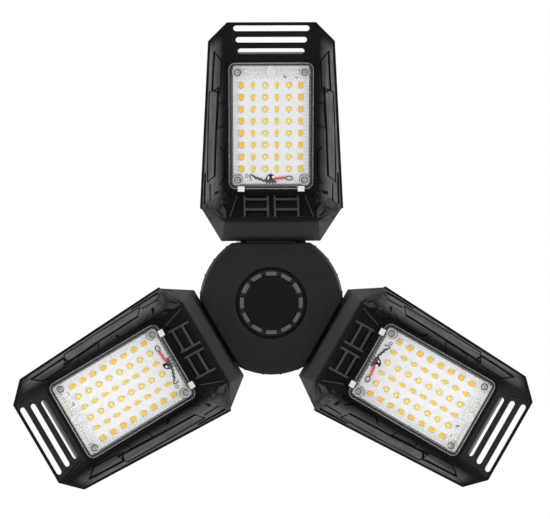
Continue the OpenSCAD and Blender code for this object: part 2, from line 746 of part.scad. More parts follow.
module front_cover() {
    inner_r = hub_r - cover_wall;
    roof = cover_wall;
    lean_angle = atan(flat_lean / cover_h);
    bevel_u = flat_out + flat_lean * (1 - flat_bevel / cover_h);
    color("#26272a") front_up() difference() {
        union() {
            rotate_extrude() polygon([[0, cover_w], [hub_r, cover_w], [hub_r, face_w - rim_bevel],
                [hub_r - rim_bevel, face_w], [well_r, face_w - dish],
                [well_r - well_slope, well_floor_w], [0, well_floor_w]]);
            for (i = [0:grip_count - 1])
                rotate([0, 0, grip_share * arc_half * (2 * i / (grip_count - 1) - 1)])
                    at_arcs(hub_r + grip_out - grip_r) translate([0, 0, cover_w])
                        cylinder(h = cover_h - rim_bevel - grip_out, r = grip_r);
        }
        difference() {
            intersection() {
                rotate_extrude() polygon([[0, cover_w - cut], [inner_r, cover_w - cut],
                    [inner_r, face_w - roof - rim_bevel], [inner_r - rim_bevel, face_w - roof],
                    [well_r + roof, face_w - dish - roof],
                    [well_r + roof - well_slope, well_floor_w - roof], [0, well_floor_w - roof]]);
                within_flats(flat_r - cover_wall, cover_w - cut, face_w);
            }
            at_arcs(arc_screw_r) translate([0, 0, cover_w]) cylinder(h = cover_h, r = cover_boss_r);
        }
        for (k = [0:panel_count - 1]) at_hinge(k) {
            translate([flat_out, 0, cover_w]) rotate([0, lean_angle, 0])
                translate([0, -hub_r, -cover_h / 2]) cube([hub_r, 2 * hub_r, 2 * cover_h]);
            translate([bevel_u, 0, face_w - flat_bevel]) rotate([0, 45, 0])
                translate([-2 * flat_bevel, -hub_r, 0]) cube([4 * flat_bevel, 2 * hub_r, 2 * flat_bevel]);
        }
        at_arcs(arc_screw_r) translate([0, 0, cover_w - cut])
            cylinder(h = screw_bite + cut + fit_gap, r = screw_r + screw_gap);
    }
}

module cap_ring() {
    ring_bevel = 0.4;
    color("#4a4b4e") front_up() translate([0, 0, well_floor_w]) difference() {
        rotate_extrude() polygon([[cap_ring_r - cap_ring_w, 0], [cap_ring_r, 0],
            [cap_ring_r, cap_ring_h - ring_bevel], [cap_ring_r - ring_bevel, cap_ring_h],
            [cap_ring_r - cap_ring_w, cap_ring_h]]);
        for (i = [0:notch_count - 1]) rotate([0, 0, 360 * (i + 0.5) / notch_count])
            translate([cap_ring_r - cap_ring_w - cut, -notch_w / 2, cap_ring_h - notch_h])
                cube([cap_ring_w + 2 * cut, notch_w, notch_h + cut]);
    }
}

module cap_disc() {
    disc_r = cap_ring_r - cap_ring_w - fit_gap;
    color("#101012") front_up() translate([0, 0, well_floor_w]) rotate_extrude() polygon([[0, 0], [disc_r, 0],
        [disc_r, cap_disc_h - cap_bevel], [disc_r - cap_bevel, cap_disc_h], [0, cap_disc_h]]);
}

// ---------------------------------------------------------------- hinges

module hinge_screws() {
    thread_past_nut = 0.5;
    end_v = barrel_half - nut_seat - nut_h - thread_past_nut;
    head_v = ear_start + screw_ear_w;
    color("#8f9296") front_up() for (k = [0:panel_count - 1]) at_hinge(k) {
        difference() {
            hinge_round(pin_head_r, head_v, head_v + pin_head_h);
            hinge_round(pin_r * 0.8, head_v + pin_head_h / 2, head_v + pin_head_h + cut, 6);
        }
        hinge_round(pin_r, end_v, head_v + weld);
    }
}

module hinge_nuts() {
    seat_v = barrel_half - nut_seat - running_gap;
    color("#8f9296") front_up() for (k = [0:panel_count - 1]) at_hinge(k) difference() {
        hinge_round(nut_r, seat_v - nut_h, seat_v, 6);
        hinge_round(pin_r + running_gap, seat_v - nut_h - cut, seat_v + cut);
    }
}

module hinge_washers() {
    color("#c8b48a") front_up() for (k = [0:panel_count - 1]) at_hinge(k) {
        hinge_washer(barrel_half + washer_play / 2, pin_r + running_gap);
        hinge_washer(-barrel_half - washer_play / 2 - washer_t, cable_bore_r);
    }
}

module hinge_washer(v0, hole_r) {
    difference() {
        hinge_round(washer_r, v0, v0 + washer_t);
        hinge_round(hole_r, v0 - cut, v0 + washer_t + cut);
    }
}

module hinge_bushes() {
    outer_v = -ear_start - bush_seat;
    color("#b08d57") front_up() for (k = [0:panel_count - 1]) at_hinge(k) difference() {
        hinge_round(bush_r, outer_v, outer_v + bush_len);
        hinge_round(bush_bore_r, outer_v - cut, outer_v + bush_len + cut);
    }
}

cable_split = -barrel_half - (ear_start - barrel_half) / 2;

module hub_leads() {
    turn_r = duct_inner_r - 2 * cable_r;
    bundle_r = 3 * cable_r;
    color("#2a2a2c") front_up() for (k = [0:panel_count - 1]) at_hinge(k)
        cable([[0, cable_split, 0], [0, -cable_turn, 0], [turn_r - hinge_r, -cable_turn, 0],
            [(turn_r + bundle_r) / 2 - hinge_r, -cable_turn / 2, -cable_r],
            [bundle_r - hinge_r, 0, -hub_back / 2],
            [bundle_r - hinge_r, 0, -hub_back - drum_plate]], cable_r);
}

// ---------------------------------------------------------------- hood

// Air in front of the hood's inner faces, lowered by depth and open to the front
module hood_air(depth) {
    inner = rim_loop(rim_t, -depth);
    loop_stack([window_loop(0, window_w - depth), inner, [for (p = inner) [p[0], p[1], sky]]]);
}

// Closed shell of the hood: ledge, window edge, flared faces, rim and collar
module hood_ring() {
    loop_ring([window_loop(-ledge, plate_w), window_loop(-ledge, ledge_w), window_loop(0, ledge_w),
        window_loop(0, window_w), rim_loop(rim_t), rim_loop(0),
        window_loop(collar_t, window_w), window_loop(collar_t, plate_w)]);
}

// Nose behind the near wall: its top edge and its feet lie within the wall of the hood
module nose_solid() {
    lip = 0.6;
    top = inset(rim, lip);
    near = top[2] - [0, 0, lip / 2];
    ridge = top[3] - [0, 0, lip / 2];
    mid_r = window_corner + collar_t / 2;
    corner_u = window_start + window_corner;
    corner_v = window_half - window_corner;
    straight = [corner_u - mid_r, corner_v, window_w];
    corner = [corner_u - mid_r * cos(45), corner_v + mid_r * sin(45), window_w];
    foot = plate_start - side_gap / 2;
    high_foot = [foot, collar_half, plate_w];
    low_foot = [foot, collar_half, disc_rise];
    side = [ridge, near, straight, corner, high_foot, low_foot, nose_edge];
    polyhedron(concat(side, [for (p = side) flip(p)]),
        [[2, 9, 7, 0], [4, 11, 9, 2], [5, 12, 11, 4], [6, 13, 12, 5], [0, 7, 13, 6],
            [3, 2, 0], [1, 3, 0], [4, 3, 1], [4, 2, 3], [5, 4, 1], [6, 5, 1], [0, 6, 1],
            [9, 10, 7], [10, 8, 7], [10, 11, 8], [9, 11, 10], [11, 12, 8], [12, 13, 8], [13, 7, 8]]);
}

// Space under the nose, one wall inside its faces and open to the web below
module nose_cavity() {
    rise = [ridge_end[0] - nose_edge[0], ridge_end[2] - nose_edge[2]];
    fall = [window_start - ridge_end[0], window_w - ridge_end[2]];
    up = unit(rise);
    down = unit(fall);
    apex_half = acos(-(up * down)) / 2;
    axis = unit(down - up);
    apex = [ridge_end[0], ridge_end[2]] + axis * nose_wall / sin(apex_half);
    floor_w = disc_rise - cut;
    band_u = apex[0] - up[0] / up[1] * (apex[1] - floor_w);
    foot = plate_start - side_gap / 2 - nose_wall;
    foot_w = apex[1] + down[1] / down[0] * (foot - apex[0]);
    half = collar_half - nose_wall;
    rotate([90, 0, 0]) translate([0, 0, -half]) linear_extrude(2 * half)
        polygon([[band_u, floor_w], apex, [foot, foot_w], [foot, floor_w]]);
}

// Stadium-shaped cooling slot across the hood at u
module slot(u, half) {
    translate([u, 0, 0]) {
        translate([-slot_w / 2, -half + slot_w / 2, 0]) cube([slot_w, 2 * half - slot_w, sky]);
        for (s = [-1, 1]) translate([0, s * (half - slot_w / 2), 0]) cylinder(h = sky, r = slot_w / 2);
    }
}

// Band of a given width that follows a list of points, seen from the front
module line_along(points, w) {
    for (i = [0:len(points) - 2]) {
        run = points[i + 1] - points[i];
        translate(points[i]) rotate(atan2(run[1], run[0])) translate([-w / 2, -w / 2])
            square([norm(run) + w, w]);
    }
}

// Panel lines on one side wall, as lists of [outwards from the window's start, out from its side]
module side_lines() {
    translate([window_start, window_half]) {
        line_along([[89.1, 6.9], [82.6, 2.4], [64.1, 3.3]], line_thin);
        line_along([[89.1, 6.9], [66.3, 8.3], [63.1, 4.1]], line_wide);
        line_along([[66.7, 4.5], [64.8, 9.9], [42.3, 10.9], [14.7, 11.5], [9.6, 11.5], [12.6, 7.1]],
            line_thin);
        line_along([[12.6, 7.1], [44.1, 5.9], [66.7, 4.5]], line_wide);
        line_along([[56.9, 1.5], [57.3, 4.5], [41.7, 5.5], [42.9, 0.8]], line_thin);
        line_along([[29.2, 3.4], [26.2, 0.9]], line_wide);
        line_along([[26.2, 0.9], [10.3, 0.9], [6.2, 4.1]], line_thin);
        line_along([[15.1, 13], [-3.5, 13.4]], line_wide);
        line_along([[8, 9.9], [-2.8, 9.9], [-5.1, 12.5]], line_thin);
    }
}

// Three nested chevrons on one near corner
module chevrons() {
    translate([window_start, window_half]) {
        line_along([[1.6, 6.2], [1.6, 0.6], [-1.9, -2.4]], chevron_w);
        line_along([[-2.9, 9.7], [-2.9, 3.2], [-7.6, -0.4]], chevron_w);
        line_along([[-7.4, 13.1], [-7.4, 6.4], [-11.2, 2.6]], chevron_w);
    }
}

tray_start = window_start - 1.2;
tray_end = window_start - 11.6;
tray_near_half = window_half - 2.4;
tray_far_half = window_half - 7.1;
louvre_inner = 2.8;
louvre_outer = 15.9;
louvres = [3, 8];
post_w = 1.3;

// Sunken field of the near wall, less its posts
module tray_field() {
    difference() {
        polygon([[tray_start, -tray_far_half], [tray_start, tray_far_half],
            [tray_end, tray_near_half], [tray_end, -tray_near_half]]);
        for (s = [-1, 1]) translate([tray_end - cut, s * (louvre_outer + post_w / 2) - post_w / 2])
            square([tray_start - tray_end + 2 * cut, post_w]);
        for (s = [-1, 1]) translate([tray_end - cut, s * (louvre_inner - post_w / 2) - post_w / 2])
            square([tray_start - tray_end + 2 * cut, post_w]);
        for (u = louvres) for (s = [-1, 1])
            translate([window_start - u - louvre_w / 2, s > 0 ? louvre_inner : -louvre_outer])
                square([louvre_w, louvre_outer - louvre_inner]);
    }
}

// The given outline and its mirror image on the other side of the panel
module both_sides() {
    children();
    mirror([0, 1]) children();
}

module at_lugs() {
    for (u = [window_start + lug_from_end, window_end - lug_from_end]) for (s = [-1, 1])
        translate([u, s * lug_v, 0]) children();
}

module hood() {
    color("#232427") difference() {
        union() {
            hood_ring();
            difference() {
                nose_solid();
                nose_cavity();
            }
            at_lugs() translate([0, 0, plate_w]) cylinder(h = hood_boss_h, r = hood_boss_r);
        }
        for (i = [0:2]) slot(far_edge[0] - slot_first - slot_pitch * i, slot_half - slot_taper * i);
        intersection() {
            linear_extrude(sky) both_sides() side_lines();
            hood_air(line_depth);
        }
        intersection() {
            linear_extrude(sky) both_sides() chevrons();
            hood_air(chevron_depth);
        }
        intersection() {
            linear_extrude(sky) tray_field();
            hood_air(tray_depth);
        }
        at_lugs() translate([0, 0, plate_w - cut])
            cylinder(h = hood_hole_depth + cut, r = screw_r + screw_gap);
    }
}

// ---------------------------------------------------------------- heat sink

module heat_sink() {
    fin_margin = 4;
    edge_margin = 3;
    web_start = nose_start + nose_wall;
    fin_start = window_start + fin_margin;
    fin_span = 2 * (collar_half - edge_margin);
    arm_end = fin_start + fin_margin / 2;
    arm_rise = 3;
    lip = 0.6;
    color("#1f2022") difference() {
        union() {
            translate([window_mid, 0, web_w]) linear_extrude(plate_t)
                round_rect(window_len + 2 * collar_t, 2 * collar_half, window_corner + collar_t);
            at_lugs() translate([0, 0, web_w]) cylinder(h = plate_t, r = lug_r);
            translate([web_start, -collar_half + side_gap, web_w - web_t])
                cube([arm_end - web_start, 2 * (collar_half - side_gap), web_t]);
            for (i = [0:fin_count - 1])
                translate([fin_start, (fin_span - fin_t) * i / (fin_count - 1) - fin_span / 2, web_w - fin_h])
                    cube([plate_end - fin_margin - fin_start, fin_t, fin_h + weld]);
            translate([0, barrel_half, 0]) rotate([90, 0, 0]) linear_extrude(barrel_len) {
                circle(barrel_r);
                polygon([[0, -barrel_r], [chase_u, -barrel_r], [arm_end, web_w - fin_h + arm_rise],
                    [arm_end, web_w], [web_start, web_w], [web_start, web_w - web_t],
                    [nose_start, barrel_r - lip], [0, barrel_r]]);
            }
        }
        hinge_round(cable_bore_r, -barrel_half - cut, barrel_half - nut_seat);
        hinge_round(pin_r + running_gap, 0, barrel_half + cut);
        translate([0, -panel_turn, 0]) rotate([0, 90, 0]) cylinder(h = chase_u, r = cable_r + cable_clear);
        translate([chase_u, -panel_turn, 0]) cylinder(h = plate_w, r = cable_r + cable_clear);
        translate([chase_u, -panel_turn, 0]) sphere(cable_r + 2 * cable_clear);
        translate([wire_hole_u, 0, web_w - web_t - 2 * cut])
            cylinder(h = plate_t + web_t + 3 * cut, r = wire_hole_r);
        translate([window_mid, 0, plate_w - screw_bite]) at_bosses()
            cylinder(h = screw_bite + cut, r = screw_r + screw_gap);
        at_lugs() translate([0, 0, web_w - cut]) cylinder(h = plate_t + 2 * cut, r = screw_r + fit_gap);
    }
}

module at_bosses() {
    for (su = [-1, 1], sv = [-1, 1]) translate([su * boss_u, sv * boss_v, 0]) children();
}

// ---------------------------------------------------------------- light engine

module led_board() {
    color("white") difference() {
        translate([window_mid, 0, plate_w]) linear_extrude(board_t) round_rect(board_len, board_wid, 1.5);
        translate([window_mid, 0, plate_w - cut]) at_bosses()
            cylinder(h = board_t + 2 * cut, r = board_hole_r);
        translate([wire_hole_u, 0, plate_w - cut]) cylinder(h = board_t + 2 * cut, r = wire_hole_r);
    }
}

module leds() {
    color("#ffd873") for (i = [0:led_rows - 1], j = [0:led_columns - 1])
        translate([window_mid + led_shift + led_pitch_u * (i - (led_rows - 1) / 2),
            led_pitch_v * (j - (led_columns - 1) / 2), board_w + led_h / 2])
            cube([led_wid, led_len, led_h], center = true);
}

module lens() {
    skirt_w = plate_w + seal_t;
    blank_boss_u = boss_u + 1;
    color([0.92, 0.94, 0.96, 0.5]) translate([window_mid, 0, 0]) difference() {
        union() {
            translate([0, 0, skirt_w]) linear_extrude(lens_face_w - skirt_w)
                round_rect(lens_len, lens_wid, lens_corner);
            at_bosses() translate([0, 0, plate_w + screw_gap])
                cylinder(h = boss_face_w - plate_w - screw_gap, r = boss_r);
            translate([blank_boss_u, 0, lens_back_w]) cylinder(h = boss_face_w - lens_back_w, r = boss_r);
        }
        difference() {
            translate([0, 0, skirt_w - cut]) linear_extrude(lens_back_w - skirt_w + cut)
                round_rect(lens_len - 2 * skirt_t, lens_wid - 2 * skirt_t, lens_corner - skirt_t);
            at_bosses() cylinder(h = sky, r = boss_r);
        }
        at_bosses() {
            cylinder(h = sky, r = screw_r + screw_gap);
            translate([0, 0, lens_head_seat]) cylinder(h = sky, r = lens_head_r + screw_gap);
        }
    }
}

module lens_seal() {
    seal_wid = skirt_t + side_gap;
    color("#dcdcd6") translate([window_mid, 0, plate_w]) linear_extrude(seal_t) difference() {
        round_rect(lens_len, lens_wid, lens_corner);
        round_rect(lens_len - 2 * seal_wid, lens_wid - 2 * seal_wid, lens_corner - seal_wid);
    }
}

module lens_screws() {
    slit = 0.6;
    reach = 0.65;
    color("#a9abad") translate([window_mid, 0, 0]) at_bosses() difference() {
        union() {
            translate([0, 0, lens_head_seat]) cylinder(h = lens_head_h, r = lens_head_r);
            translate([0, 0, plate_w - screw_bite + screw_gap])
                cylinder(h = lens_head_seat - plate_w + screw_bite, r = screw_r);
        }
        for (a = [0, 90]) rotate([0, 0, a])
            translate([-lens_head_r * reach, -slit / 2, lens_head_seat + lens_head_h / 2])
                cube([2 * lens_head_r * reach, slit, lens_head_h]);
    }
}

module lens_clips() {
    clip_t = 0.7;
    overlap = 2;
    foot_len = 0.9;
    clip_start = ledge - 0.1 - foot_len;
    color("#f2f2ee") for (s = [-1, 1]) translate([window_start + clip_start, s * clip_v - clip_len / 2, 0]) {
        translate([0, 0, ledge_w]) cube([foot_len, clip_len, lens_face_w - ledge_w + weld]);
        translate([0, 0, lens_face_w]) cube([ledge - clip_start + lens_gap + overlap, clip_len, clip_t]);
    }
}

module hood_screws() {
    color("#a9abad") at_lugs() translate([0, 0, web_w]) {
        translate([0, 0, -screw_head_h]) cylinder(h = screw_head_h, r = screw_head_r);
        translate([0, 0, -weld]) cylinder(h = plate_t + screw_bite + weld, r = screw_r);
    }
}

module board_connector() {
    connector_len = 5.6;
    connector_wid = 4.8;
    connector_h = 1.1;
    roof = 0.2;
    color("#141416") translate([wire_hole_u - connector_wid / 2, -connector_len / 2, board_w]) difference() {
        cube([connector_wid, connector_len, connector_h]);
        translate([connector_wid / 2, connector_len / 2, -cut])
            cylinder(h = connector_h - roof + cut, r = cable_r);
    }
}

module panel_lead() {
    end_gap = nose_wall + cable_r + side_gap;
    color("#2a2a2c") cable([[0, cable_split, 0], [0, -panel_turn, 0], [chase_u, -panel_turn, 0],
        [chase_u, -panel_turn, plate_w],
        [plate_start - end_gap, -panel_turn / 2, plate_w + cable_r]], cable_r);
}

// ---------------------------------------------------------------- assembly

base_shell();
base_insulator();
base_contact();
driver_housing();
driver_board();
transformer();
capacitors();
output_terminal();
mains_leads();
neck_screws();
hub_housing();
cover_screws();
front_cover();
cap_ring();
cap_disc();
hinge_screws();
hinge_nuts();
hinge_washers();
hinge_bushes();
hub_leads();

at_panel(0) hood();  // hood_a
at_panel(1) hood();  // hood_b
at_panel(2) hood();  // hood_c
at_panel(0) heat_sink();  // heat_sink_a
at_panel(1) heat_sink();  // heat_sink_b
at_panel(2) heat_sink();  // heat_sink_c
at_panel(0) led_board();  // led_board_a
at_panel(1) led_board();  // led_board_b
at_panel(2) led_board();  // led_board_c
at_panel(0) leds();  // leds_a
at_panel(1) leds();  // leds_b
at_panel(2) leds();  // leds_c
at_panel(0) lens();  // lens_a
at_panel(1) lens();  // lens_b
at_panel(2) lens();  // lens_c
at_panel(0) lens_seal();  // lens_seal_a
at_panel(1) lens_seal();  // lens_seal_b
at_panel(2) lens_seal();  // lens_seal_c
at_panel(0) lens_screws();  // lens_screws_a
at_panel(1) lens_screws();  // lens_screws_b
at_panel(2) lens_screws();  // lens_screws_c
at_panel(0) lens_clips();  // lens_clips_a
at_panel(1) lens_clips();  // lens_clips_b
at_panel(2) lens_clips();  // lens_clips_c
at_panel(0) hood_screws();  // hood_screws_a
at_panel(1) hood_screws();  // hood_screws_b
at_panel(2) hood_screws();  // hood_screws_c
at_panel(0) board_connector();  // board_connector_a
at_panel(1) board_connector();  // board_connector_b
at_panel(2) board_connector();  // board_connector_c
at_panel(0) panel_lead();  // panel_lead_a
at_panel(1) panel_lead();  // panel_lead_b
at_panel(2) panel_lead();  // panel_lead_c
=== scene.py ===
"""Dresses the folding three-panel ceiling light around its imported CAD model, and lights and frames it.

Lengths inside the functions are in millimetres and become metres where points go into a mesh. A panel's own
coordinates are u, outwards from its hinge axis, v, along the hinge axis, and w, towards the lit side.
"""

import math

import bpy
import numpy as np
from mathutils import Matrix


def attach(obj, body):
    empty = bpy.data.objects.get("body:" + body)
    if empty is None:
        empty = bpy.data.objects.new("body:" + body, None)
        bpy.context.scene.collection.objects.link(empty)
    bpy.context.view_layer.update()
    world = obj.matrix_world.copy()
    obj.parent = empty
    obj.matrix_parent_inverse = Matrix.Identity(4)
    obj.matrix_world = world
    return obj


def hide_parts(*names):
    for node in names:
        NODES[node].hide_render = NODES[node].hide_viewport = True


bl_info = {
    "name": "Folding Garage Light",
    "version": (1, 0, 0),
    "blender": (4, 5, 0),
    "location": "3D View > Sidebar > Garage Light",
    "description": "Builds the visible pieces and finishes of a folding three-panel ceiling light",
    "category": "Object",
}

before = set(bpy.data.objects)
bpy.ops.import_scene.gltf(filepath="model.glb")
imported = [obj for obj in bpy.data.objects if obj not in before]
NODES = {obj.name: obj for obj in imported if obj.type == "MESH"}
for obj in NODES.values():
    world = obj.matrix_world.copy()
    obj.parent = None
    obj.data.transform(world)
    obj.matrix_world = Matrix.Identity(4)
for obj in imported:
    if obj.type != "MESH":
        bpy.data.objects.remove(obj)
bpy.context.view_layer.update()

MM = 0.001

# Azimuth of each panel about the lamp's axis, and how far it leans below flat, in degrees
PANELS = {"a": 90.0, "b": 210.0, "c": 330.0}
REST_DROOP = {"a": 12.0, "b": 18.0, "c": 18.0}
HINGE_R = 35.0
HINGE_Z = -84.0

# Heights (w) of the board's face and of the lens's face, the underside of its roof and its foot
BOARD_W = 12.2
LENS_FACE_W = 15.2
LENS_BACK_W = 13.8
LENS_FOOT_W = 11.6

# The lens, and the places of its screw bosses from the window's middle
WINDOW_MID = 79.1
LENS_LEN = 78.8
LENS_WID = 50.8
LENS_CORNER = 4.2
FLANGE_WID = 52.3
BOSS_U = 33.6
BOSS_V = 20.7
BLANK_BOSS_U = 34.6

# The light packages
LED_MID = 78.3
LED_ROWS = 8
LED_PITCH_U = 7.45
LED_PITCH_V = 7.3

# The walls of a hood rise as planes from its floor. Foot and slope of the side walls, which grow steeper
# outwards, of the wall at the hub's end, and of the corners between them
HOOD_FLOOR_W = 15.5
SIDE_FOOT_V, SIDE_SLOPE, SIDE_TWIST = 27.8, 1.102, 0.00075
NEAR_FOOT_U, NEAR_SLOPE = 37.3, 1.417
CORNER_FOOT_U, CORNER_FOOT_V = 38.5, 26.6
CORNER_SLOPE_U, CORNER_SLOPE_V = 1.225, 0.49

# The screw base and the centre cap
BASE_R = 13.1
BASE_BORE_R = 11.7
BASE_TOP = 21.0
CONTACT_R = 4.8
TIP_TOP = 25.0
CAP_R = 16.95
CAP_TOP = -101.1
NOTCH_DEPTH = 1.2


# ------------------------------------------------------------------ shapes


def panel_frame(panel):
    """Rotation and origin that take a panel's (u, v, w) to the lamp's frame, in millimetres: u leans down by
    the droop, then the whole turns about the lamp axis to the panel's azimuth."""
    droop, turn = math.radians(REST_DROOP[panel]), math.radians(PANELS[panel] - 90.0)
    lean = np.array(
        [
            [0, 1, 0],
            [math.cos(droop), 0, -math.sin(droop)],
            [-math.sin(droop), 0, -math.cos(droop)],
        ]
    )
    spin = np.array(
        [[math.cos(turn), -math.sin(turn), 0], [math.sin(turn), math.cos(turn), 0], [0, 0, 1]]
    )
    return spin @ lean, spin @ np.array([0, HINGE_R, HINGE_Z])


def on_panel(points, panel):
    """Points given as (u, v, w) on a panel, moved to the lamp's frame."""
    rotation, origin = panel_frame(panel)
    return points @ rotation.T + origin


def circle(sides, start=0.0):
    """Unit circle: cosine and sine of evenly spaced angles, anticlockwise."""
    angle = start + np.linspace(0, 2 * np.pi, sides, endpoint=False)
    return np.stack([np.cos(angle), np.sin(angle)], -1)


def rounded_rect(length, width, radius, steps=6):
    """Loop round a rectangle with arc corners, anticlockwise: each quarter of the angle range moves round one
    corner's centre."""
    angle = (np.linspace(0, 90, steps + 1)[None, :] + 90 * np.arange(4)[:, None]) * np.pi / 180
    centre = np.array([[1, 1], [-1, 1], [-1, -1], [1, -1]]) * [
        length / 2 - radius,
        width / 2 - radius,
    ]
    arc = radius * np.stack([np.cos(angle), np.sin(angle)], -1)
    return (centre[:, None, :] + arc).reshape(-1, 2)


def loft(outline, rows, corner_steps=6):
    """Rows of points from a list of (inset, height): the rounded rectangle shrinks by the inset and rises to
    the height. outline is (length, width, radius)."""
    length, width, radius = outline
    loops = [
        rounded_rect(length - 2 * inset, width - 2 * inset, max(radius - inset, 0.05), corner_steps)
        for inset, _ in rows
    ]
    return np.array([np.column_stack([loop, 0 * loop[:, 0] + row[1]]) for loop, row in zip(loops, rows)])


def revolve(profile, sides=48):
    """Surface of revolution: each (radius, height) of the profile goes round the axis."""
    profile = np.asarray(profile, float)
    ring = circle(sides)
    flat = profile[:, None, :1] * ring[None, :, :]
    high = np.broadcast_to(profile[:, None, 1:], flat.shape[:2] + (1,))
    return np.concatenate([flat, high], -1)


def arc_profile(centre, radius, start, end, steps=6):
    """Points of a rounded edge in a profile: an arc about centre, with its angles in degrees."""
    angle = np.radians(np.linspace(start, end, steps))
    return [(centre[0] + radius * math.cos(a), centre[1] + radius * math.sin(a)) for a in angle]


def tube(path, radius, sides=10, up=(0, 0, 1)):
    """Round wire: at each point of the path a circle stands square to the path's direction."""
    path = np.asarray(path, float)
    along = np.gradient(path, axis=0)
    along /= np.linalg.norm(along, axis=1, keepdims=True)
    side = np.cross(along, up)
    side /= np.linalg.norm(side, axis=1, keepdims=True)
    lift = np.cross(side, along)
    ring = circle(sides)
    return path[:, None] + radius * (
        ring[None, :, :1] * side[:, None] + ring[None, :, 1:] * lift[:, None]
    )


def smooth_path(points, count):
    """Smooth curve through the given points: a cubic that keeps each point's mean direction."""
    p = np.asarray(points, float)
    ends = np.vstack([2 * p[0] - p[1], p, 2 * p[-1] - p[-2]])
    t = np.linspace(0, len(p) - 1 - 1e-9, count)
    i = t.astype(int)
    s = (t - i)[:, None]
    a, b, c, d = ends[i], ends[i + 1], ends[i + 2], ends[i + 3]
    return 0.5 * (
        2 * b + (c - a) * s + (2 * a - 5 * b + 4 * c - d) * s**2 + (3 * b - a - 3 * c + d) * s**3
    )


def smoothstep(x, low, high):
    """0 below low, 1 above high, and an S-curve between."""
    t = np.clip((x - low) / (high - low), 0, 1)
    return t * t * (3 - 2 * t)


class Shape:
    """Collects grids of points into one mesh. Rows run inwards to outwards or bottom to top and columns
    anticlockwise, so that faces point outwards."""

    def __init__(self):
        self.points, self.faces, self.slots, self.count = [], [], [], 0

    def grid(self, points, slot=0, caps=(False, False), wrap_rows=False):
        """Adds a grid (rows, columns, 3), or many alike (copies, rows, columns, 3). Its columns close into a
        ring. Its rows close too with wrap_rows, and otherwise end in flat caps where asked."""
        many = points if points.ndim == 4 else points[None]
        copies, rows, cols = many.shape[:3]
        ids = np.arange(copies * rows * cols).reshape(copies, rows, cols) + self.count
        low = ids if wrap_rows else ids[:, :-1]
        high = np.roll(ids, -1, 1) if wrap_rows else ids[:, 1:]
        quads = np.stack([low, np.roll(low, -1, 2), np.roll(high, -1, 2), high], -1)
        faces = quads.reshape(-1, 4).tolist()
        if caps[0]:
            faces += ids[:, 0, ::-1].tolist()
        if caps[1]:
            faces += ids[:, -1].tolist()
        self.points.append(many.reshape(-1, 3))
        self.faces += faces
        self.slots += [slot] * len(faces)
        self.count += copies * rows * cols
        return self

    def build(self, name, materials, sharp=40.0):
        """The mesh object, in metres, smooth where its faces meet under the angle sharp."""
        mesh = bpy.data.meshes.new(name)
        points = np.concatenate(self.points) * MM
        mesh.from_pydata(points.tolist(), [], self.faces)
        for material in materials:
            mesh.materials.append(material)
        mesh.polygons.foreach_set("material_index", self.slots)
        mesh.polygons.foreach_set("use_smooth", [True] * len(self.faces))
        mesh.set_sharp_from_angle(angle=math.radians(sharp))
        mesh.update()
        obj = bpy.data.objects.new(name, mesh)
        bpy.context.scene.collection.objects.link(obj)
        return obj


def screw_head(radius, height, slit, reach, sides=32, rings=12):
    """Domed screw head with a cross recess: the height falls with the square of the radius, less a cross of
    two rounded bars."""
    r = radius * np.linspace(0.02, 1, rings) ** 0.9
    ring = circle(sides, np.pi / sides)
    x, y = r[:, None] * ring[None, :, 0], r[:, None] * ring[None, :, 1]
    bar_x = (1 - smoothstep(np.abs(y), slit * 0.4, slit * 0.75)) * (
        1 - smoothstep(np.abs(x), reach * 0.8, reach)
    )
    bar_y = (1 - smoothstep(np.abs(x), slit * 0.4, slit * 0.75)) * (
        1 - smoothstep(np.abs(y), reach * 0.8, reach)
    )
    z = height * (1 - 0.28 * (r[:, None] / radius) ** 2) - 0.55 * height * np.maximum(bar_x, bar_y)
    top = np.stack([x, y, z], -1)[::-1]
    skirt = np.stack([x[-1], y[-1], np.zeros(sides)], -1)[None]
    return np.concatenate([skirt, top])


# ------------------------------------------------------------------ materials


class Value:
    """One output inside a material. Sums, products and powers of values add Math nodes."""

    def __init__(self, paint, socket):
        self.paint, self.socket = paint, socket

    def _math(self, operation, *others):
        return self.paint.add("ShaderNodeMath", {"operation": operation}, [self, *others])

    def _step(self, low, high, start, end):
        """start below low, end above high, and an S-curve between."""
        return self.paint.add(
            "ShaderNodeMapRange",
            {"interpolation_type": "SMOOTHSTEP"},
            {"Value": self, "From Min": low, "From Max": high, "To Min": start, "To Max": end},
        )

    def __add__(self, other):
        return self._math("ADD", other)

    def __sub__(self, other):
        return self._math("SUBTRACT", other)

    def __rsub__(self, other):
        return self.paint.add("ShaderNodeMath", {"operation": "SUBTRACT"}, [other, self])

    def __mul__(self, other):
        return self._math("MULTIPLY", other)

    def __pow__(self, other):
        return self._math("POWER", other)

    def __abs__(self):
        return self._math("ABSOLUTE")

    def largest(self, other):
        """The larger of the two."""
        return self._math("MAXIMUM", other)

    def cosine(self):
        """Cosine of the value in radians."""
        return self._math("COSINE")

    def folded(self, pitch):
        """Distance to the nearest whole multiple of the pitch."""
        return self._math("PINGPONG", pitch / 2)

    def above(self, low, high):
        """0 below low, 1 above high, and smooth between."""
        return self._step(low, high, 0.0, 1.0)

    def below(self, low, high):
        """1 below low, 0 above high, and smooth between."""
        return self._step(low, high, 1.0, 0.0)

    def between(self, low, high, soft=0.06):
        """1 between low and high, with soft edges."""
        return self.above(low - soft, low + soft) * self.below(high - soft, high + soft)


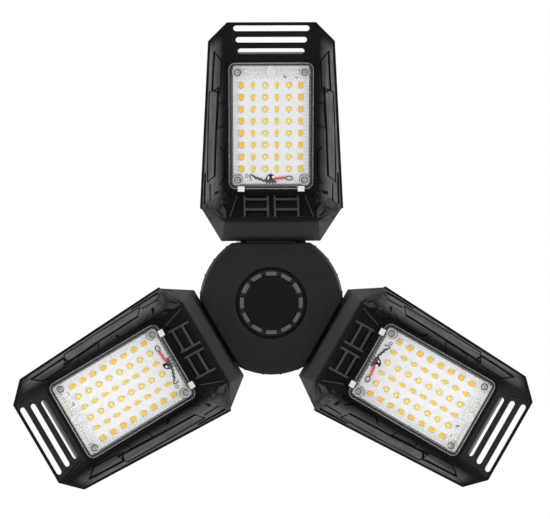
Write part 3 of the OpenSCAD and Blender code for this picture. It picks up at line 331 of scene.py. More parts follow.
class Paint:
    """A material under construction, with its Principled shader."""

    def __init__(self, name, **constants):
        self.material = bpy.data.materials.new(name)
        self.material.use_nodes = True
        self.nodes = self.material.node_tree.nodes
        self.links = self.material.node_tree.links
        self.nodes.clear()
        self.shader = self.nodes.new("ShaderNodeBsdfPrincipled")
        self.output = self.nodes.new("ShaderNodeOutputMaterial")
        self.links.new(self.shader.outputs[0], self.output.inputs["Surface"])
        self.set(**constants)

    def _put(self, socket, value):
        if isinstance(value, Value):
            self.links.new(value.socket, socket)
        elif socket.type == "RGBA" and len(value) == 3:
            socket.default_value = (*value, 1.0)
        else:
            socket.default_value = value

    def add(self, kind, settings=None, inputs=(), output=0):
        """Adds a node: its settings first, then the values or links of its sockets, by name or in order."""
        node = self.nodes.new(kind)
        for key, value in (settings or {}).items():
            setattr(node, key, value)
        pairs = inputs.items() if isinstance(inputs, dict) else enumerate(inputs)
        for key, value in pairs:
            self._put(node.inputs[key], value)
        return Value(self, node.outputs[output])

    def set(self, **sockets):
        """Sets the shader's sockets; base_color stands for Base Color."""
        for key, value in sockets.items():
            self._put(self.shader.inputs[key.replace("_", " ").title().replace("Ior", "IOR")], value)

    def mix_over(self, other, factor):
        """Shows this shader where factor is 1, the other shader where it is 0, and a mix between."""
        own = Value(self, self.shader.outputs[0])
        mixed = self.add("ShaderNodeMixShader", None, [factor, other, own])
        self.links.new(mixed.socket, self.output.inputs["Surface"])

    def place(self):
        """Object coordinates in millimetres."""
        return self._in_mm(self.add("ShaderNodeTexCoord", output="Object"))

    def on(self, panel):
        """A panel's own (u, v, w) in millimetres: the object coordinates turned and moved to its hinge."""
        rotation, origin = panel_frame(panel)
        moved = self.add(
            "ShaderNodeMapping",
            {"vector_type": "POINT"},
            {
                "Vector": self.add("ShaderNodeTexCoord", output="Object"),
                "Rotation": Matrix(rotation.T.tolist()).to_euler("XYZ"),
                "Location": (rotation.T @ origin * -MM).tolist(),
            },
        )
        return self._in_mm(moved)

    def _in_mm(self, vector):
        return self.add("ShaderNodeVectorMath", {"operation": "SCALE"}, {0: vector, "Scale": 1000.0})

    def split(self, vector):
        """The three components of a vector."""
        node = self.add("ShaderNodeSeparateXYZ", None, [vector]).socket.node
        return [Value(self, output) for output in node.outputs]

    def stretch(self, vector, scale):
        """The vector times the scale, axis by axis."""
        return self.add("ShaderNodeVectorMath", {"operation": "MULTIPLY"}, [vector, scale])

    def noise(self, vector, scale, detail=3.0, roughness=0.55):
        """Clouds from 0 to 1, about 1 / scale millimetres wide."""
        inputs = {"Vector": vector, "Scale": scale, "Detail": detail, "Roughness": roughness}
        return self.add("ShaderNodeTexNoise", None, inputs)

    def cells(self, vector, scale):
        """Distance to the nearest of scattered points, about 1 / scale millimetres apart."""
        return self.add("ShaderNodeTexVoronoi", None, {"Vector": vector, "Scale": scale})

    def blend(self, factor, first, second):
        """Colour between first and second, mixed by factor."""
        return self.add("ShaderNodeMix", {"data_type": "RGBA"}, {0: factor, 6: first, 7: second}, output=2)

    def bump(self, height, strength, distance):
        """Normal of a surface that rises by the height times the distance, in millimetres."""
        inputs = {"Height": height, "Strength": strength, "Distance": distance * MM}
        return self.add("ShaderNodeBump", None, inputs)


def shade(colour, factor, lift=0.0):
    """The colour times the factor, plus the lift, and at most 1."""
    return tuple(min(c * factor + lift, 1.0) for c in colour)


def moulded_grain(paint, where, roughness, grain):
    """Gives the paint the surface of a spark-eroded mould: a fine grain, and a sheen that clouds. Returns the
    clouding."""
    cloud = paint.noise(where, 0.09, 2.0)
    fine = paint.noise(where, grain, 2.0, 0.6)
    paint.set(
        roughness=(cloud - 0.5) * 0.12 + (fine - 0.5) * 0.06 + roughness,
        normal=paint.bump(fine, 0.5, 0.012),
    )
    return cloud


def moulded_plastic(name, colour, roughness, grain):
    """Moulded black plastic with faint clouding."""
    paint = Paint(name, specular_ior_level=0.15)
    cloud = moulded_grain(paint, paint.place(), roughness, grain)
    tone = (cloud - 0.5) * 0.5 + 0.4
    paint.set(base_color=paint.blend(tone, shade(colour, 0.5), shade(colour, 1.9, 0.002)))
    return paint.material


def hood_finish(name, colour, wall, panel):
    """Black plastic of a hood, with painted light and shade in its colour. Painted sheen lightens the side
    walls:
    it is streaked, grows lighter outwards towards the rim and weaker towards the hub's end, and is left out
    in the panel lines, which stay near black as painted shade. The louvred field stays near black but for
    painted highlights on its bars, and the nose and the land between the chevrons carry painted highlights
    too."""
    paint = Paint(name, specular_ior_level=0.05)
    where = paint.on(panel)
    cloud = moulded_grain(paint, where, 0.42, 3.0)
    painted_sheen_streak_noise = paint.noise(paint.stretch(where, (0.02, 0.9, 0.7)), 1.0, 4.0, 0.65)
    u, v, w = paint.split(where)
    across = abs(v)
    rise = w - HOOD_FLOOR_W

    # Depth below the plane of each wall
    under_side = (across - SIDE_FOOT_V) * (u * SIDE_TWIST + SIDE_SLOPE) - rise
    under_near = (NEAR_FOOT_U - u) * NEAR_SLOPE - rise
    under_corner = (CORNER_FOOT_U - u) * CORNER_SLOPE_U + (across - CORNER_FOOT_V) * CORNER_SLOPE_V - rise

    # Where each kind of surface lies, and where the painted sheen, painted shade and painted highlights go
    side = across.above(28.5, 36.0) * (u + across * 0.75).below(152.0, 162.0)
    # Painted shade: the panel lines lose the painted sheen and stay near black
    painted_groove_shade = under_side.above(0.25, 0.5) * under_side.below(3.0, 3.2)
    field = u.between(25.8, 36.0, 0.3) * ((36.1 - u) * 0.452 + 20.7 - across).above(-0.8, -0.5)
    # Painted highlight on the tops of the field's bars
    bars = field * abs(under_near).below(0.35, 0.6)
    # Painted highlights on the land between the chevrons and on the nose
    painted_land_highlight = abs(under_corner).below(0.25, 0.5) * u.below(37.5, 38.5) * across.above(27.5, 28.5)
    nose = u.below(20.0, 24.0)

    # Painted sheen: lighter on the side walls, streaked, weaker near the hub's end and left out in the panel
    # lines; painted highlights on the bars, the nose and the land between the chevrons
    streaks = (painted_sheen_streak_noise - 0.5) * 1.3 + (cloud - 0.5) * 0.5 + 0.55
    painted_sheen_hub_fade = u.above(29.0, 38.0) * 0.7 + 0.3
    tone = side * painted_sheen_hub_fade * streaks * (1.0 - painted_groove_shade) + bars * 0.28
    tone = tone.largest(nose * 0.2 + 0.01).largest(painted_land_highlight * 0.22)
    paint.set(base_color=paint.blend(tone, colour, wall))
    return paint.material


def metal(name, colour, roughness, brushed=(1.0, 1.0, 1.0), tarnish=0.15):
    """Metal with fine scratches stretched by brushed, and a little tarnish in patches."""
    paint = Paint(name, metallic=1.0)
    where = paint.place()
    scratch = paint.noise(paint.stretch(where, brushed), 2.2, 4.0, 0.7)
    patch = paint.noise(where, 0.35, 3.0)
    paint.set(
        base_color=paint.blend(patch.above(0.35, 0.8), colour, shade(colour, 1 - tarnish * 2)),
        roughness=(scratch - 0.5) * 0.25 + patch * 0.12 + roughness,
        normal=paint.bump(scratch, 0.35, 0.02),
    )
    return paint.material


def coated_metal(name, colour, roughness):
    """Die-cast metal under a black coat: an orange-peel surface with small pits."""
    paint = Paint(name, metallic=0.2)
    where = paint.place()
    peel = paint.noise(where, 0.9, 3.0)
    pits = paint.cells(where, 1.6)
    paint.set(
        base_color=paint.blend(peel.above(0.3, 0.8), colour, shade(colour, 1.7)),
        roughness=(peel - 0.5) * 0.2 + roughness,
        normal=paint.bump(peel * 0.7 + pits * 0.3, 0.4, 0.05),
    )
    return paint.material


def plain_finish(name, colour, roughness, scale=1.5, spread=0.12, **more):
    """Small moulded or coated part: slight colour clouding and a soft uneven surface."""
    paint = Paint(name, **more)
    cloud = paint.noise(paint.place(), scale, 3.0)
    paint.set(
        base_color=paint.blend(cloud, shade(colour, 1 - spread), shade(colour, 1 + spread)),
        roughness=(cloud - 0.5) * 0.15 + roughness,
        normal=paint.bump(cloud, 0.4, 0.01),
    )
    return paint.material


def gloss_finish(name, colour):
    """Polished black plastic whose face is barely uneven."""
    paint = Paint(name, base_color=colour, specular_ior_level=0.08)
    ripple = paint.noise(paint.place(), 0.25, 1.0)
    paint.set(roughness=ripple * 0.1 + 0.1, normal=paint.bump(ripple, 0.2, 0.05))
    return paint.material


def sleeved_cable_finish(name, colour, sleeve_w, panel):
    """Black cable whose end at the board, above the height sleeve_w, wears a white insulating sleeve."""
    paint = Paint(name, specular_ior_level=0.2)
    where = paint.on(panel)
    cloud = paint.noise(where, 1.5, 3.0)
    _, _, w = paint.split(where)
    paint.set(
        base_color=paint.blend(w.above(sleeve_w, sleeve_w + 0.5), colour, (0.72, 0.72, 0.71)),
        roughness=(cloud - 0.5) * 0.15 + 0.55,
        normal=paint.bump(cloud, 0.4, 0.01),
    )
    return paint.material


def notched_finish(name, colour, roughness, notch_floor):
    """Satin plastic of the notched ring, with painted shade that turns the notches black towards their floor.
    """
    paint = Paint(name)
    where = paint.place()
    _, _, z = paint.split(where)
    # Painted shade: the notches turn near black towards their floor
    painted_notch_shade = z.above(notch_floor - 0.5, notch_floor)
    grain = paint.noise(where, 4.0, 2.0)
    paint.set(
        base_color=paint.blend(painted_notch_shade, colour, (0.0015, 0.0015, 0.0015)),
        roughness=(grain - 0.5) * 0.1 + painted_notch_shade * 0.35 + roughness,
        normal=paint.bump(grain, 0.4, 0.01),
    )
    return paint.material


def board_finish(name, colour, panel):
    """White solder mask over copper: the fields between the light packages show as pale blocks, parted by
    thin darker gaps, with a faint weave."""
    paint = Paint(name, coat_weight=0.15, coat_roughness=0.25)
    where = paint.on(panel)
    u, v, _ = paint.split(where)
    out = u - LED_MID
    gaps = out.folded(LED_PITCH_U).below(0.12, 0.3).largest(v.folded(LED_PITCH_V).below(0.1, 0.26))
    traces = gaps * (abs(out).below(29.5, 30.5) * abs(v).below(21, 22))
    weave = paint.noise(where, 1.8, 3.0)
    tone = traces * 0.25 + (weave - 0.5) * 0.15 + 0.1
    paint.set(
        base_color=paint.blend(tone, colour, shade(colour, 0.86)),
        roughness=(weave - 0.5) * 0.1 + 0.42,
        normal=paint.bump(traces * -1.0 + weave * 0.15, 0.3, 0.03),
    )
    return paint.material


def lens_finish(name, colour, panel, dot_pitch):
    """Clear moulded plastic. Its margin is faintly veiled, with rows of tiny white prism dots that fade
    towards the middle. Thin bright lines follow the rounded edge and the sides, as light caught in their
    steps. The veil stops at the screws."""
    paint = Paint(name, ior=1.49)
    where = paint.on(panel)
    u, v, _ = paint.split(where)
    out = u - WINDOW_MID
    along, across = abs(out), abs(v)

    # Distance in from the rounded edge
    corner_u = (along - (LENS_LEN / 2 - LENS_CORNER)).largest(0.0)
    corner_v = (across - (FLANGE_WID / 2 - LENS_CORNER)).largest(0.0)
    edge = LENS_CORNER - (corner_u * corner_u + corner_v * corner_v) ** 0.5

    # Where each kind of surface lies: the face inside the step, its margin, and the dots
    inner = edge.above(1.7, 2.0) * across.below(23.4, 23.7)
    outer_end = out.above(27.0, 31.0)
    sides = across.above(19.0, 22.0)
    hub_end = out.below(-35.5, -33.5)
    margin = outer_end.largest(sides).largest(hub_end * 0.6)
    waves = (out * (2 * math.pi / dot_pitch)).cosine() + (v * (2 * math.pi / dot_pitch)).cosine()
    dots = (waves * 0.5).above(0.45, 0.85) * inner
    # Painted highlights: thin bright lines along the rounded edge, along the sides' step and across the outer
    # end
    edge_highlight = edge.below(0.35, 0.55)
    side_highlight = edge.between(1.9, 2.5) * across.above(23.4, 23.6)
    end_highlight = out.above(36.2, 36.5) * inner
    off_screws = ((along - BOSS_U) ** 2.0 + (across - BOSS_V) ** 2.0).above(4.6, 5.4)

    veil = inner * margin * 0.14 + dots * (margin * 0.36 + 0.03) + 0.01
    veil = veil + edge_highlight * 0.25 + side_highlight * 0.16 + end_highlight * 0.4
    fresnel = paint.add("ShaderNodeFresnel", None, {"IOR": 1.49})
    paint.mix_over(paint.add("ShaderNodeBsdfTransparent"), (veil + fresnel * 0.08) * off_screws)
    paint.set(
        base_color=paint.blend(dots, shade(colour, 0.72), colour),
        roughness=paint.noise(where, 0.5, 2.0) * 0.08 + 0.08,
        normal=paint.bump(dots, 0.35, 0.12),
    )
    return paint.material


def boss_finish(name, colour):
    """Thick clear plastic of the screw bosses, milky where light gathers in it."""
    paint = Paint(name, base_color=colour, ior=1.49)
    cloud = paint.noise(paint.place(), 0.8, 2.0)
    paint.set(roughness=cloud * 0.1 + 0.15)
    facing = paint.add("ShaderNodeLayerWeight", None, {"Blend": 0.35}, output="Facing")
    paint.mix_over(paint.add("ShaderNodeBsdfTransparent"), cloud * 0.15 + facing * 0.25 + 0.3)
    return paint.material


# ------------------------------------------------------------------ user settings


def length(name, description, default):
    """Setting for a length, whose default is given in millimetres."""
    return bpy.props.FloatProperty(
        name=name, description=description, default=default * MM, subtype="DISTANCE", unit="LENGTH"
    )


def colour(name, description, default):
    """Setting for a colour, in linear red, green and blue."""
    return bpy.props.FloatVectorProperty(
        name=name, description=description, default=default, subtype="COLOR", min=0, max=1
    )


class GarageLightSizes(bpy.types.PropertyGroup):
    """Sizes of the pieces that are shaped here."""

    edge_round: length("Edge rounding", "Rounding of the moulded edges", 0.35)
    small_round: length("Small edge rounding", "Rounding of thin edges", 0.18)
    thread_depth: length("Thread depth", "Depth of the rolled thread", 0.9)
    thread_pitch: length("Thread pitch", "Rise of the thread in one turn", 3.63)
    dot_pitch: length("Lens dot pitch", "Spacing of the lens's prism dots", 2.25)
    wire_radius: length("Wire radius", "Radius of the thin wires on the board", 0.42)


class GarageLightColours(bpy.types.PropertyGroup):
    """Colours of the finishes."""

    hood: colour("Hood", "Black plastic of the hoods", (0.0035, 0.0035, 0.0037))
    # The wall colour is painted sheen: the lightest painted reflection on the hoods' side walls
    wall: colour("Wall", "Lightest streaks of the hoods' side walls", (0.17, 0.17, 0.172))
    cover: colour("Cover", "Black plastic of hub and neck", (0.0065, 0.0065, 0.007))
    ring: colour("Cap ring", "Notched ring", (0.055, 0.055, 0.056))
    cap: colour("Cap", "Glossy centre cap", (0.004, 0.004, 0.0045))
    board: colour("Board", "White board", (0.80, 0.80, 0.805))
    phosphor: colour("Phosphor", "Face of most light packages", (0.95, 0.59, 0.03))
    warm_phosphor: colour("Warm phosphor", "Face of the outer light packages", (0.95, 0.52, 0.03))
    pale_phosphor: colour("Pale phosphor", "Middle of the round light packages", (0.95, 0.78, 0.36))
    package: colour("Package", "White body of a light package", (0.93, 0.86, 0.66))
    gold: colour("Pads", "Gold pads", (0.80, 0.66, 0.36))
    lens: colour("Lens", "Clear plastic", (0.93, 0.94, 0.95))
    red: colour("Red wire", "Insulation of the red wire", (0.75, 0.05, 0.035))
    black: colour("Black wire", "Insulation of the black wires", (0.012, 0.012, 0.012))


class GarageLightStage(bpy.types.PropertyGroup):
    """Light and camera."""

    world_level: bpy.props.FloatProperty(
        name="World level", description="Strength of the even light all round", default=0.3, min=0
    )
    lamp_power: bpy.props.FloatProperty(
        name="Lamp power", description="Power of one soft lamp", default=9.0, min=0, unit="POWER"
    )
    lamp_size: length("Lamp size", "Side of one soft lamp", 900.0)
    focal: bpy.props.FloatProperty(
        name="Focal length",
        description="Focal length of the camera",
        default=148.09,
        subtype="DISTANCE_CAMERA",
        unit="CAMERA",
    )


def sizes(context):
    """The user's sizes in millimetres, by name."""
    group = context.scene.garage_light_sizes
    return {key: getattr(group, key) / MM for key in GarageLightSizes.__annotations__}


def colours(context):
    """The user's colours, by name."""
    group = context.scene.garage_light_colours
    return {key: tuple(getattr(group, key)) for key in GarageLightColours.__annotations__}


def finish_node(node, material, rounding=0.0):
    """Gives a CAD node its finish, and rounds its sharp edges with a bevel on the merged mesh."""
    obj = NODES[node]
    obj.data.materials.clear()
    obj.data.materials.append(material)
    if rounding:
        weld = obj.modifiers.new("merge", "WELD")
        weld.merge_threshold = 1e-6
        bevel = obj.modifiers.new("rounding", "BEVEL")
        bevel.width = rounding * MM
        bevel.segments = 2
        bevel.limit_method = "ANGLE"
        bevel.angle_limit = math.radians(30)
        bevel.harden_normals = True


def finish_panels(part, make, rounding=0.0):
    """Finishes the three nodes of a panel's part; make gives the material for one panel."""
    for panel in PANELS:
        finish_node(f"{part}_{panel}", make(panel), rounding)


def hand_over(obj, body, slot, *nodes):
    """The piece rides on its body and stands for the CAD nodes, which it hides. The slot is not used."""
    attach(obj, body)
    if nodes:
        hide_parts(*nodes)


# ------------------------------------------------------------------ operators


class GARAGE_LIGHT_OT_screw_base(bpy.types.Operator):
    """Screw base: rolled thread, glass insulator and tip contact"""

    bl_idname = "garage_light.screw_base"
    bl_label = "Screw Base"

    THREAD_START = 3.5
    THREAD_END = 19.4
    SHOULDER_R = 1.6

    def shell(self, depth, pitch):
        """Skin of the shell. Outside, its radius is the mean radius plus half the depth times the cosine of
        the height's turn less the angle, and the thread fades out at both ends. Then come the rounded
        shoulder, the flat top and the plain bore."""
        mean = BASE_R - depth / 2
        angle = np.linspace(0, 2 * np.pi, 96, endpoint=False)[None, :]
        z = np.linspace(0, self.THREAD_END, 130)[:, None]
        fade = np.clip(np.minimum(z - self.THREAD_START, self.THREAD_END - z) / (pitch * 0.6), 0, 1)
        radius = mean + fade * depth / 2 * np.cos(2 * np.pi * z / pitch - angle)
        outside = np.stack([radius * np.cos(angle), radius * np.sin(angle), z + 0 * angle], -1)
        shoulder = arc_profile((mean - self.SHOULDER_R, self.THREAD_END), self.SHOULDER_R, 15, 90, 6)
        top = [(7.0, BASE_TOP), (7.0, BASE_TOP - 1), (BASE_BORE_R, BASE_TOP - 1), (BASE_BORE_R, 0)]
        return np.concatenate([outside, revolve(shoulder + top, 96)])

    def insulator(self):
        """Section of the insulator: a plug in the shell's hole, a round foot on it and a cone to the tip."""
        plug = [(1.6, 18.0), (6.85, 18.0), (6.85, BASE_TOP), (9.3, BASE_TOP)]
        foot = arc_profile((8.7, BASE_TOP + 0.5), 0.6, 0, 60, 5)
        tip = arc_profile((5.3, TIP_TOP - 0.8), 0.8, 15, 90, 5)
        return plug + foot + [(6.1, TIP_TOP - 0.6)] + tip + [(1.6, TIP_TOP)]

    def contact(self):
        """Section of the tip contact: a stem, and a dome as a quarter of an ellipse."""
        angles = np.linspace(0, 1.53, 14)
        dome = [(CONTACT_R * math.cos(a), TIP_TOP + 0.5 + 2.0 * math.sin(a)) for a in angles]
        return [(1.5, 18.0), (1.5, TIP_TOP), (CONTACT_R, TIP_TOP)] + dome

    def execute(self, context):
        size = sizes(context)
        steel = metal("base_metal_finish", (0.72, 0.70, 0.66), 0.22, (0.25, 0.25, 3.0))
        skin = self.shell(size["thread_depth"], size["thread_pitch"])
        shell = Shape().grid(skin, wrap_rows=True).build("screw_shell", [steel])
        hand_over(shell, "root", "base_metal", "base_shell")
        glass = plain_finish("insulator_finish", (0.012, 0.012, 0.013), 0.1, coat_weight=0.5)
        insulator = Shape().grid(revolve(self.insulator()), wrap_rows=True).build("tip_insulator", [glass])
        hand_over(insulator, "root", "insulator", "base_insulator")
        brass = metal("contact_finish", (0.70, 0.52, 0.28), 0.25, tarnish=0.2)
        contact = Shape().grid(revolve(self.contact()), caps=(True, True)).build("tip_contact", [brass])
        hand_over(contact, "root", "contact_metal", "base_contact")
        return {"FINISHED"}


class GARAGE_LIGHT_OT_hub(bpy.types.Operator):
    """Neck, hub, front cover and centre cap"""

    bl_idname = "garage_light.hub"
    bl_label = "Hub and Neck"

    def cap(self):
        """Section of the centre cap: its height falls with the square of the radius, out to a rounded rim."""
        radius = np.linspace(0.05, 16.2, 14)
        face = [(r, CAP_TOP + 0.0006 * r * r) for r in radius]
        rim = arc_profile((CAP_R - 0.7, CAP_TOP + 0.7), 0.7, -90, 0, 6)
        return face + rim + [(CAP_R, CAP_TOP + 3.8)]

    def execute(self, context):
        size, tint = sizes(context), colours(context)
        edge, small = size["edge_round"], size["small_round"]
        body = moulded_plastic("housing_finish", tint["cover"], 0.5, 3.0)
        cover = moulded_plastic("cover_finish", tint["cover"], 0.52, 3.5)
        notched = notched_finish("cap_ring_finish", tint["ring"], 0.4, CAP_TOP + NOTCH_DEPTH)
        finish_node("driver_housing", body, edge)
        finish_node("hub_housing", body, small)
        finish_node("front_cover", cover, edge)
        finish_node("cap_ring", notched, small)
        gloss = gloss_finish("cap_gloss_finish", tint["cap"])
        cap = Shape().grid(revolve(self.cap(), 96), caps=(True, True)).build("centre_cap", [gloss])
        hand_over(cap, "root", "cap_gloss", "cap_disc")
        return {"FINISHED"}


class GARAGE_LIGHT_OT_inside(bpy.types.Operator):
    """Driver, wires and hinge hardware inside hub and neck"""

    bl_idname = "garage_light.inside"
    bl_label = "Driver and Hinge Hardware"

    def execute(self, context):
        tint = colours(context)
        steel = metal("screw_finish", (0.50, 0.51, 0.52), 0.3)
        finishes = {
            "driver_board": plain_finish("circuit_board_finish", (0.05, 0.22, 0.09), 0.35),
            "transformer": plain_finish("transformer_finish", (0.09, 0.085, 0.08), 0.55),
            "capacitors": plain_finish("capacitor_finish", (0.03, 0.05, 0.12), 0.25),
            "output_terminal": plain_finish("terminal_finish", (0.78, 0.76, 0.70), 0.45),
            "mains_leads": plain_finish("mains_wire_finish", (0.55, 0.54, 0.50), 0.5),
            "hub_leads": plain_finish("cable_finish", tint["black"], 0.55),
            "hinge_washers": plain_finish("washer_finish", (0.55, 0.45, 0.28), 0.6),
            "hinge_bushes": metal("bush_finish", (0.30, 0.22, 0.13), 0.4),
            "neck_screws": steel,
            "cover_screws": steel,
            "hinge_nuts": steel,
            "hinge_screws": steel,
        }
        for node, material in finishes.items():
            finish_node(node, material)
        for panel in PANELS:
            finish_node(f"hood_screws_{panel}", steel)
            cable = sleeved_cable_finish(f"panel_cable_finish_{panel}", tint["black"], 9.5, panel)
            finish_node(f"panel_lead_{panel}", cable)
        return {"FINISHED"}


class GARAGE_LIGHT_OT_hoods(bpy.types.Operator):
    """Hoods and finned heat sinks of the three panels"""

    bl_idname = "garage_light.hoods"
    bl_label = "Hoods and Heat Sinks"

    def execute(self, context):
        size, tint = sizes(context), colours(context)
        finish_panels(
            "hood",
            lambda panel: hood_finish(f"hood_finish_{panel}", tint["hood"], tint["wall"], panel),
            size["small_round"],
        )
        sink = coated_metal("heat_sink_finish", (0.02, 0.02, 0.021), 0.45)
        finish_panels("heat_sink", lambda panel: sink, size["small_round"])
        seal = plain_finish("seal_finish", (0.012, 0.012, 0.012), 0.6)
        finish_panels("lens_seal", lambda panel: seal)
        clip = plain_finish("clip_finish", (0.82, 0.82, 0.80), 0.4)
        finish_panels("lens_clips", lambda panel: clip, size["small_round"])
        return {"FINISHED"}


class GARAGE_LIGHT_OT_lenses(bpy.types.Operator):
    """Clear lenses with their bosses and screws"""

    bl_idname = "garage_light.lenses"
    bl_label = "Lenses and Screws"

    # The window's middle, and the four screws' places, shaped so that a grid added to them is copied to each
    MIDDLE = np.array([WINDOW_MID, 0, 0])
    SCREWS = np.array([(su * BOSS_U, sv * BOSS_V, 0) for su in (1, -1) for sv in (1, -1)]) + MIDDLE
    SCREWS = SCREWS[:, None, None, :]

    # Sections as (distance inwards, height). The skin goes from the inner roof down the inner wall to the
    # foot, and up the outer wall to a low flange, a rounded step and the raised face.
    SKIN = [(1.2, LENS_BACK_W), (1.2, LENS_FOOT_W), (0.0, LENS_FOOT_W)]
    SKIN += [(0.0, 14.4), (0.1, 14.6), (0.3, 14.66), (1.4, 14.66)]
    SKIN += [(1.52, 14.72), (1.6, 15.0), (1.75, 15.15), (2.0, LENS_FACE_W)]
    FLANGE = [(1.3, 14.45), (0.0, 14.45), (0.06, 14.56), (0.2, 14.62), (1.3, 14.62)]

    def lens(self, panel):
        """Skin, thin flange, four screw bosses and the blank boss at the outer end."""
        skin = loft((LENS_LEN, LENS_WID, LENS_CORNER), self.SKIN)
        flange = loft((LENS_LEN, FLANGE_WID, LENS_CORNER), self.FLANGE)
        rim = arc_profile((2.85, 15.45), 0.25, 0, 90, 4) + [(2.9, 15.7)]
        boss = [(1.3, 11.1), (3.1, 11.1)] + rim + [(2.25, 15.7), (2.2, 15.6), (2.2, 14.4), (1.3, 14.4)]
        blank = [(3.1, LENS_BACK_W)] + rim[:-1] + [(2.4, 15.7), (2.0, 15.55), (0.05, 15.5)]
        shape = Shape()
        shape.grid(on_panel(skin + self.MIDDLE, panel), caps=(True, True))
        shape.grid(on_panel(flange + self.MIDDLE, panel))
        shape.grid(on_panel(revolve(boss, 40) + self.SCREWS, panel), slot=1, wrap_rows=True)
        plug = revolve(blank, 40) + self.MIDDLE + [BLANK_BOSS_U, 0, 0]
        shape.grid(on_panel(plug, panel), slot=1, caps=(False, True))
        return shape

    def screws(self, panel):
        """Four screws with their gaskets."""
        head = screw_head(1.65, 0.9, 0.5, 1.1) + [0, 0, 14.6]
        gasket = revolve([(1.5, 14.4), (2.15, 14.4), (2.15, 14.95), (1.9, 15.1), (1.7, 14.7)], 32)
        shank = revolve([(1.2, 6.6), (1.2, 14.6)], 16)
        shape = Shape()
        shape.grid(on_panel(head + self.SCREWS, panel), caps=(True, True))
        shape.grid(on_panel(gasket + self.SCREWS, panel), slot=1, wrap_rows=True)
        shape.grid(on_panel(shank + self.SCREWS, panel), caps=(True, True))
        return shape

    def execute(self, context):
        size, tint = sizes(context), colours(context)
        steel = metal("lens_screw_finish", (0.36, 0.36, 0.37), 0.32)
        rubber = plain_finish("screw_gasket_finish", (0.015, 0.015, 0.015), 0.6, specular_ior_level=0.15)
        clear_boss = boss_finish("lens_boss_finish", tint["lens"])
        for panel in PANELS:
            clear = lens_finish(f"lens_finish_{panel}", tint["lens"], panel, size["dot_pitch"])
            lens = self.lens(panel).build(f"clear_lens_{panel}", [clear, clear_boss])
            hand_over(lens, f"panel_{panel}", "lens_clear", f"lens_{panel}")
            screws = self.screws(panel).build(f"lens_screw_set_{panel}", [steel, rubber], 30)
            hand_over(screws, f"panel_{panel}", "screw_steel", f"lens_screws_{panel}")
        return {"FINISHED"}


